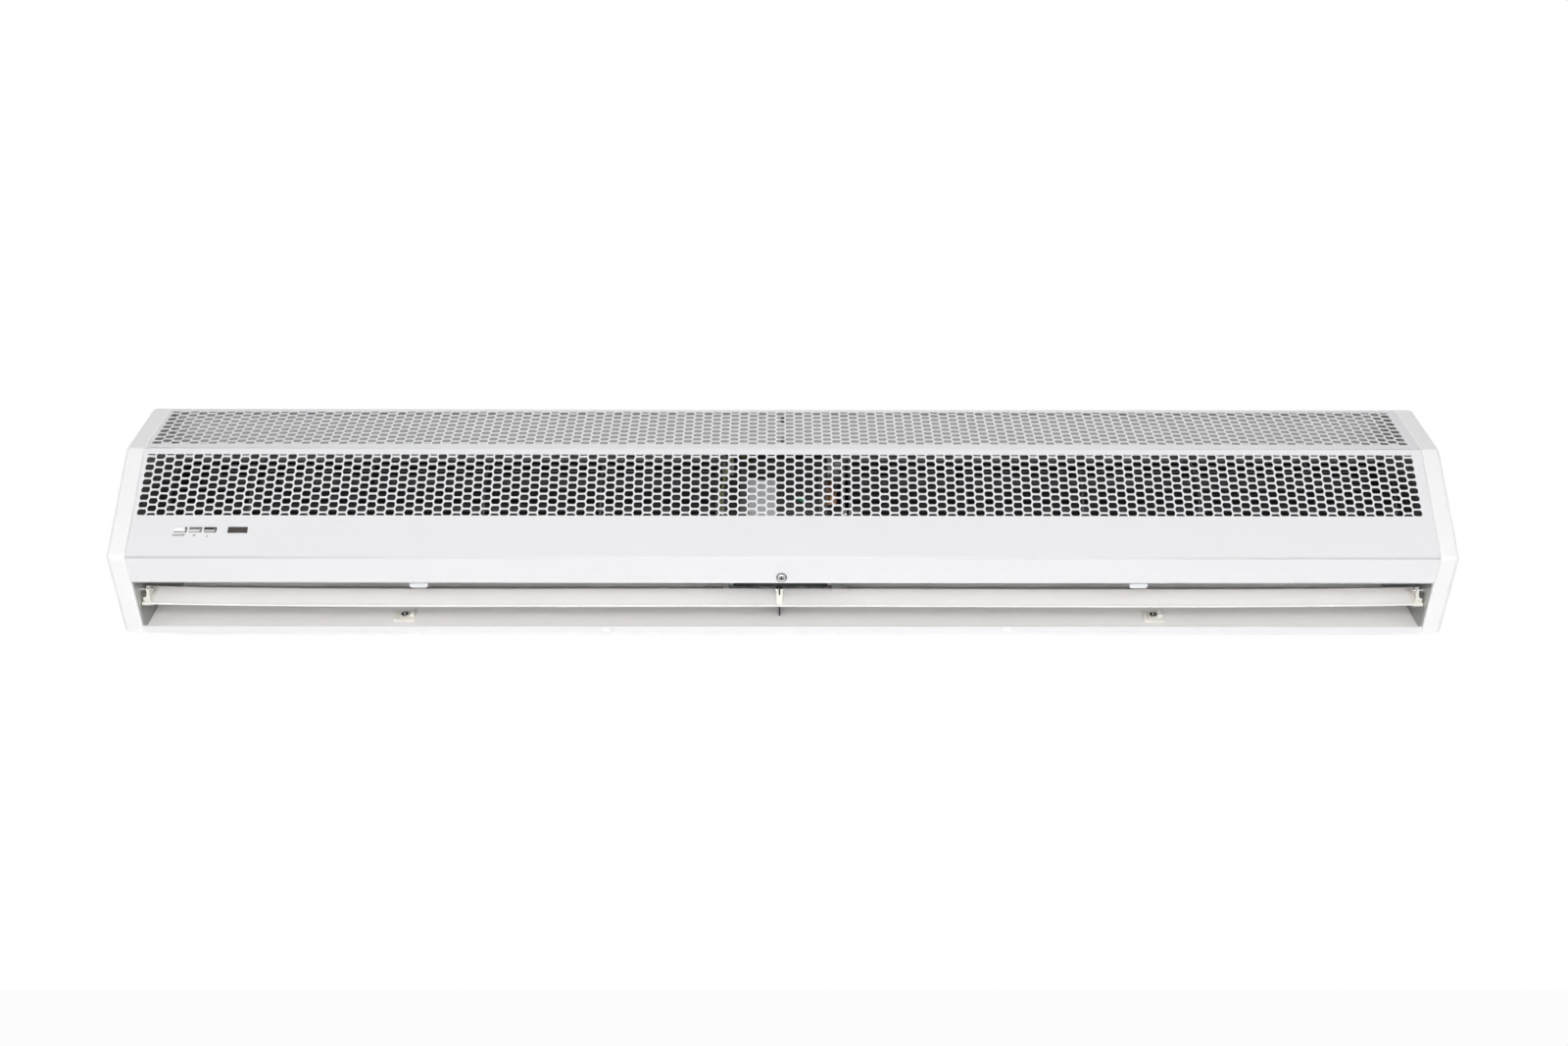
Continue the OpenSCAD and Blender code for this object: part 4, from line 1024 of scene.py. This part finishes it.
def coil_heads():
    """Bundles of wire that arch from slot to slot in three layers, every third one taller"""
    bm = bmesh.new()
    for side in (-1, 1):
        for k in range(COILS):
            tall = COIL_TALL + COIL_TALLER * (k % 3 == 0)
            path = []
            for i in range(COIL_STEPS + 1):
                rise = math.sin(math.pi * i / COIL_STEPS)
                path.append(around_fan(side * (COIL_X + tall * rise ** 0.6),
                                       COIL_R + (COIL_BULGE + k % 3) * rise,
                                       360 / COILS * k + COIL_SPAN * i / COIL_STEPS))
            tube(bm, path, COIL_WIRE_R)
    tidy_normals(bm)
    piece("coil_heads", bm, "copper", "casing", "motor_windings", smooth=60.0)


def wrap(bm, across, radii, degrees):
    """A strip bent round the fan axis"""
    (x0, x1), (r0, r1), (start, end) = across, radii, degrees
    corners = ((x0, r0), (x1, r0), (x1, r1), (x0, r1))
    solid(bm, [[around_fan(x, r, start + (end - start) * k / WRAP_STEPS) for x, r in corners]
               for k in range(WRAP_STEPS + 1)])


def coil_tape():
    """Black insulation over the left coil head and the lower half of the right one"""
    bm = bmesh.new()
    wrap(bm, *LEFT_TAPE)
    wrap(bm, *RIGHT_TAPE)
    tidy_normals(bm)
    piece("coil_tape", bm, "black_rubber", "casing")


def plain_label():
    bm = bmesh.new()
    wrap(bm, *LABEL)
    tidy_normals(bm)
    piece("plain_label", bm, "paper", "casing", "motor_label")


def bay_shade_sheet():
    """A black sheet behind the motor that paints the deep shade of the bay"""
    bm = bmesh.new()
    block(bm, point(*SHADE_SHEET_LOW), point(*SHADE_SHEET_HIGH), SHADE_SHEET_EDGE * MM, 1)
    bmesh.ops.recalc_face_normals(bm, faces=bm.faces)
    piece("bay_shade_sheet", bm, "black_plastic", "casing")


stack()
coil_heads()
coil_tape()
plain_label()
bay_shade_sheet()


# Wires: the loom and the motor's lead are twisted strands that run behind the plain panel

LOOM_DROP, LOOM_DEEP = 96.0, 4.24
LOOM = FOLD + LOOM_DROP * FRONT_WAY - LOOM_DEEP * FRONT_OUT
LOOM_X = range(-435, -109, 5)
LOOM_STRANDS, LOOM_SPREAD, LOOM_PITCH = 4, 1.7, 90.0
WIRE_R = 1.15
# Three clips hold the loom. Their saddle and foot: limits down the panel, height and rounding
LOOM_START, LOOM_LONG = -434.6, 324.6
LOOM_CLIP_SHARES, LOOM_CLIP_HALF = (1 / 6, 1 / 2, 5 / 6), 3.0
PANEL_INSIDE = -0.95
SADDLE_DROPS, SADDLE_DEEP, SADDLE_EDGE = (92.4, 99.6), -LOOM_DEEP - 3.1, 1.2
FOOT_DROPS, FOOT_DEEP, FOOT_EDGE = (90.2, 101.8), -2.0, 0.4
# The lead runs along the panel, turns towards the fan axis, and enters the stator in a ferrule
LEAD_X, LEAD_BEND_X, LEAD_BEND_R = (-70.0, -53.0, -37.0, -20.0), -4.0, 12.0
LEAD_DEPTHS = (24.0, 36.0, 48.0, 58.6)
LEAD_SPREAD, LEAD_PITCH = 1.35, 60.0
GREEN_PHASES, DARK_PHASES = (0.0, 0.33), (0.67,)
FERRULE, FERRULE_R = [(13.0, -127.6, 124.0), (16.5, -128.4, 122.4), (20.0, -127.8, 120.6)], 1.9
EARTH_WIRE_R = 1.3
EARTH_ROUTE = [(-72, -176.5, 77), (-64, -172, 86), (-58, -163, 104), (-56.5, -155.5, 122), (-54, -151, 138),
               (-50, -148, 152), (-45, -138, 161), (-38, -110, 164), (-33, -80, 163), (-30, -50, 170),
               (-27, -25, 184), (-20, -13, 188)]


def flowing(knots, steps=6):
    """A smooth path through the knots"""
    ends = [2 * knots[0] - knots[1], *knots, 2 * knots[-1] - knots[-2]]
    out = []
    for a, b, c, d in zip(ends, ends[1:], ends[2:], ends[3:]):
        for k in range(steps):
            t = k / steps
            out.append(0.5 * (2 * b + (c - a) * t + (2 * a - 5 * b + 4 * c - d) * t ** 2
                              + (3 * b - a - 3 * c + d) * t ** 3))
    return out + [knots[-1]]


def strand(path, spread, phase, pitch):
    """A path twisted round another"""
    out, far = [], 0.0
    for i, (p, a, b) in enumerate(framed(path)):
        far += (p - path[i - 1]).length / MM if i else 0.0
        t = math.tau * (phase + far / pitch)
        out.append(p + spread * MM * (a * math.cos(t) + b * math.sin(t)))
    return out


def loom():
    bm = bmesh.new()
    path = [point(x, *LOOM) for x in LOOM_X]
    for k in range(LOOM_STRANDS):
        tube(bm, strand(path, LOOM_SPREAD, k / LOOM_STRANDS, LOOM_PITCH), WIRE_R)
    clips = bmesh.new()
    for share in LOOM_CLIP_SHARES:
        x = LOOM_START + share * LOOM_LONG
        for drops, deep, edge, steps in ((SADDLE_DROPS, SADDLE_DEEP, SADDLE_EDGE, 3),
                                         (FOOT_DROPS, FOOT_DEEP, FOOT_EDGE, 2)):
            block(clips, (x - LOOM_CLIP_HALF, drops[0], deep),
                  (x + LOOM_CLIP_HALF, drops[1], PANEL_INSIDE), edge, steps)
    onto(clips, FOLD, FRONT_WAY, FRONT_OUT)
    add(bm, clips)
    tidy_normals(bm)
    piece("loom", bm, "wire_grey", "casing", "wire_loom", smooth=60.0)


def lead_path():
    """Along the panel, round a quarter of a circle, and straight in towards the fan axis"""
    inward = (FAN - LOOM).normalized()
    bend = [(LEAD_BEND_X + LEAD_BEND_R * math.sin(t), LEAD_BEND_R * (1 - math.cos(t)))
            for t in [math.pi / 2 * k / 8 for k in range(9)]]
    end_x = LEAD_BEND_X + LEAD_BEND_R
    run = [(x, 0.0) for x in LEAD_X] + bend + [(end_x, deep) for deep in LEAD_DEPTHS]
    return flowing([point(x, *(LOOM + inward * s)) for x, s in run], 3)


def lead():
    green, dark = bmesh.new(), bmesh.new()
    path = lead_path()
    for bm, phases in ((green, GREEN_PHASES), (dark, DARK_PHASES)):
        for phase in phases:
            tube(bm, strand(path, LEAD_SPREAD, phase, LEAD_PITCH), WIRE_R)
    tube(green, [point(*p) for p in FERRULE], FERRULE_R)
    tidy_normals(green)
    tidy_normals(dark)
    piece("lead", green, "wire_green", "casing", "motor_lead", smooth=60.0)
    piece("lead_dark", dark, "wire_grey", "casing", smooth=60.0)


def earth_wire():
    """From under the loom up the front of the bay and over the motor to its back"""
    bm = bmesh.new()
    tube(bm, flowing([point(*p) for p in EARTH_ROUTE]), EARTH_WIRE_R)
    tidy_normals(bm)
    piece("earth_wire", bm, "wire_earth", "casing", smooth=60.0)


loom()
lead()
earth_wire()


# Camera: a little under the unit, looking straight at it and slightly up

CAMERA_SPOT = -4.2, -1605.2, -30.6
YAW, PITCH, ROLL = 0.18046, 5.0651, 0.0423
LENS, SENSOR_WIDE = 36.908, 36.0

scene = bpy.context.scene
camera = bpy.data.objects.new("camera", bpy.data.cameras.new("camera"))
scene.collection.objects.link(camera)
camera.data.lens, camera.data.sensor_width = LENS, SENSOR_WIDE
camera.location = point(*CAMERA_SPOT)
camera.rotation_euler = (Matrix.Rotation(math.radians(-YAW), 3, "Z")
                         @ Matrix.Rotation(math.radians(90 + PITCH), 3, "X")
                         @ Matrix.Rotation(math.radians(ROLL), 3, "Z")).to_euler()
scene.camera = camera


# Studio, in metres: soft light from all round and a pale floor well below. Camera, metal and glass
# see white where there is nothing

WORLD_LEVEL = 0.2
FLOOR_HALF, FLOOR_LEVEL, FLOOR_TONE = 4.0, -1.25, 0.86
# How far the floor's own look gives way to white for the camera
FLOOR_FADE = 0.96


def surroundings():
    """Plain light on the unit, and white for what looks past it"""
    world = bpy.data.worlds.new("studio")
    scene.world = world
    world.use_nodes = True
    studio = Graph(world.node_tree)
    camera_ray = studio.node("ShaderNodeLightPath", {}, {}, "Is Camera Ray")
    mirrored = camera_ray.beside("Is Glossy Ray").larger(camera_ray.beside("Is Transmission Ray"))
    level = studio.node("ShaderNodeBackground", {}, {"Color": tone(1.0), "Strength": WORLD_LEVEL})
    white = studio.node("ShaderNodeBackground", {}, {"Color": tone(1.0), "Strength": 1.0})
    both = studio.blend(camera_ray.larger(mirrored), level, white)
    studio.join(studio.tree.nodes["World Output"].inputs["Surface"], both)


def softbox(name, spot, target, wide, tall, power):
    """A soft lamp that points at a target"""
    lamp = bpy.data.objects.new(name, bpy.data.lights.new(name, "AREA"))
    lamp.data.shape = "RECTANGLE"
    lamp.data.size, lamp.data.size_y, lamp.data.energy = wide, tall, power
    lamp.location = spot
    lamp.rotation_euler = (Vector(target) - Vector(spot)).to_track_quat("-Z", "Y").to_euler()
    scene.collection.objects.link(lamp)


def pale_floor():
    bm = bmesh.new()
    made = bmesh.ops.create_grid(bm, x_segments=2, y_segments=2, size=FLOOR_HALF)["verts"]
    bmesh.ops.translate(bm, verts=made, vec=(0, 0, FLOOR_LEVEL))
    mesh = as_mesh(bm, "floor")
    f = Finish("floor_pale", Base_Color=tone(FLOOR_TONE), Roughness=0.8)
    fade = FLOOR_FADE * f.node("ShaderNodeLightPath", {}, {}, "Is Camera Ray")
    glow = f.node("ShaderNodeEmission", {}, {"Strength": 1.0})
    both = f.blend(fade, Value(f, f.shader.outputs[0]), glow)
    f.join(f.tree.nodes["Material Output"].inputs["Surface"], both)
    mesh.materials.append(f.material)
    obj = bpy.data.objects.new("floor", mesh)
    scene.collection.objects.link(obj)


scene.view_settings.view_transform = "Standard"
surroundings()
softbox("front_strip", (0.0, -2.4, -0.2), (0, -0.1, -0.06), 3.0, 0.08, 28.0)
softbox("front_box", (0.0, -2.4, 0.35), (0, -0.1, 0), 2.6, 0.5, 16.0)
softbox("left_box", (-2.2, -1.6, 0.5), (0, -0.1, 0), 1.0, 1.0, 11.0)
softbox("right_box", (2.2, -1.6, 0.5), (0, -0.1, 0), 1.0, 1.0, 11.0)
softbox("floor_box", (0.0, 0.5, -1.1), (0, -0.05, -0.1), 2.0, 0.6, 15.0)
softbox("back_box", (0.0, 1.6, 2.0), (0, 0, 0), 2.6, 1.0, 33.0)
pale_floor()
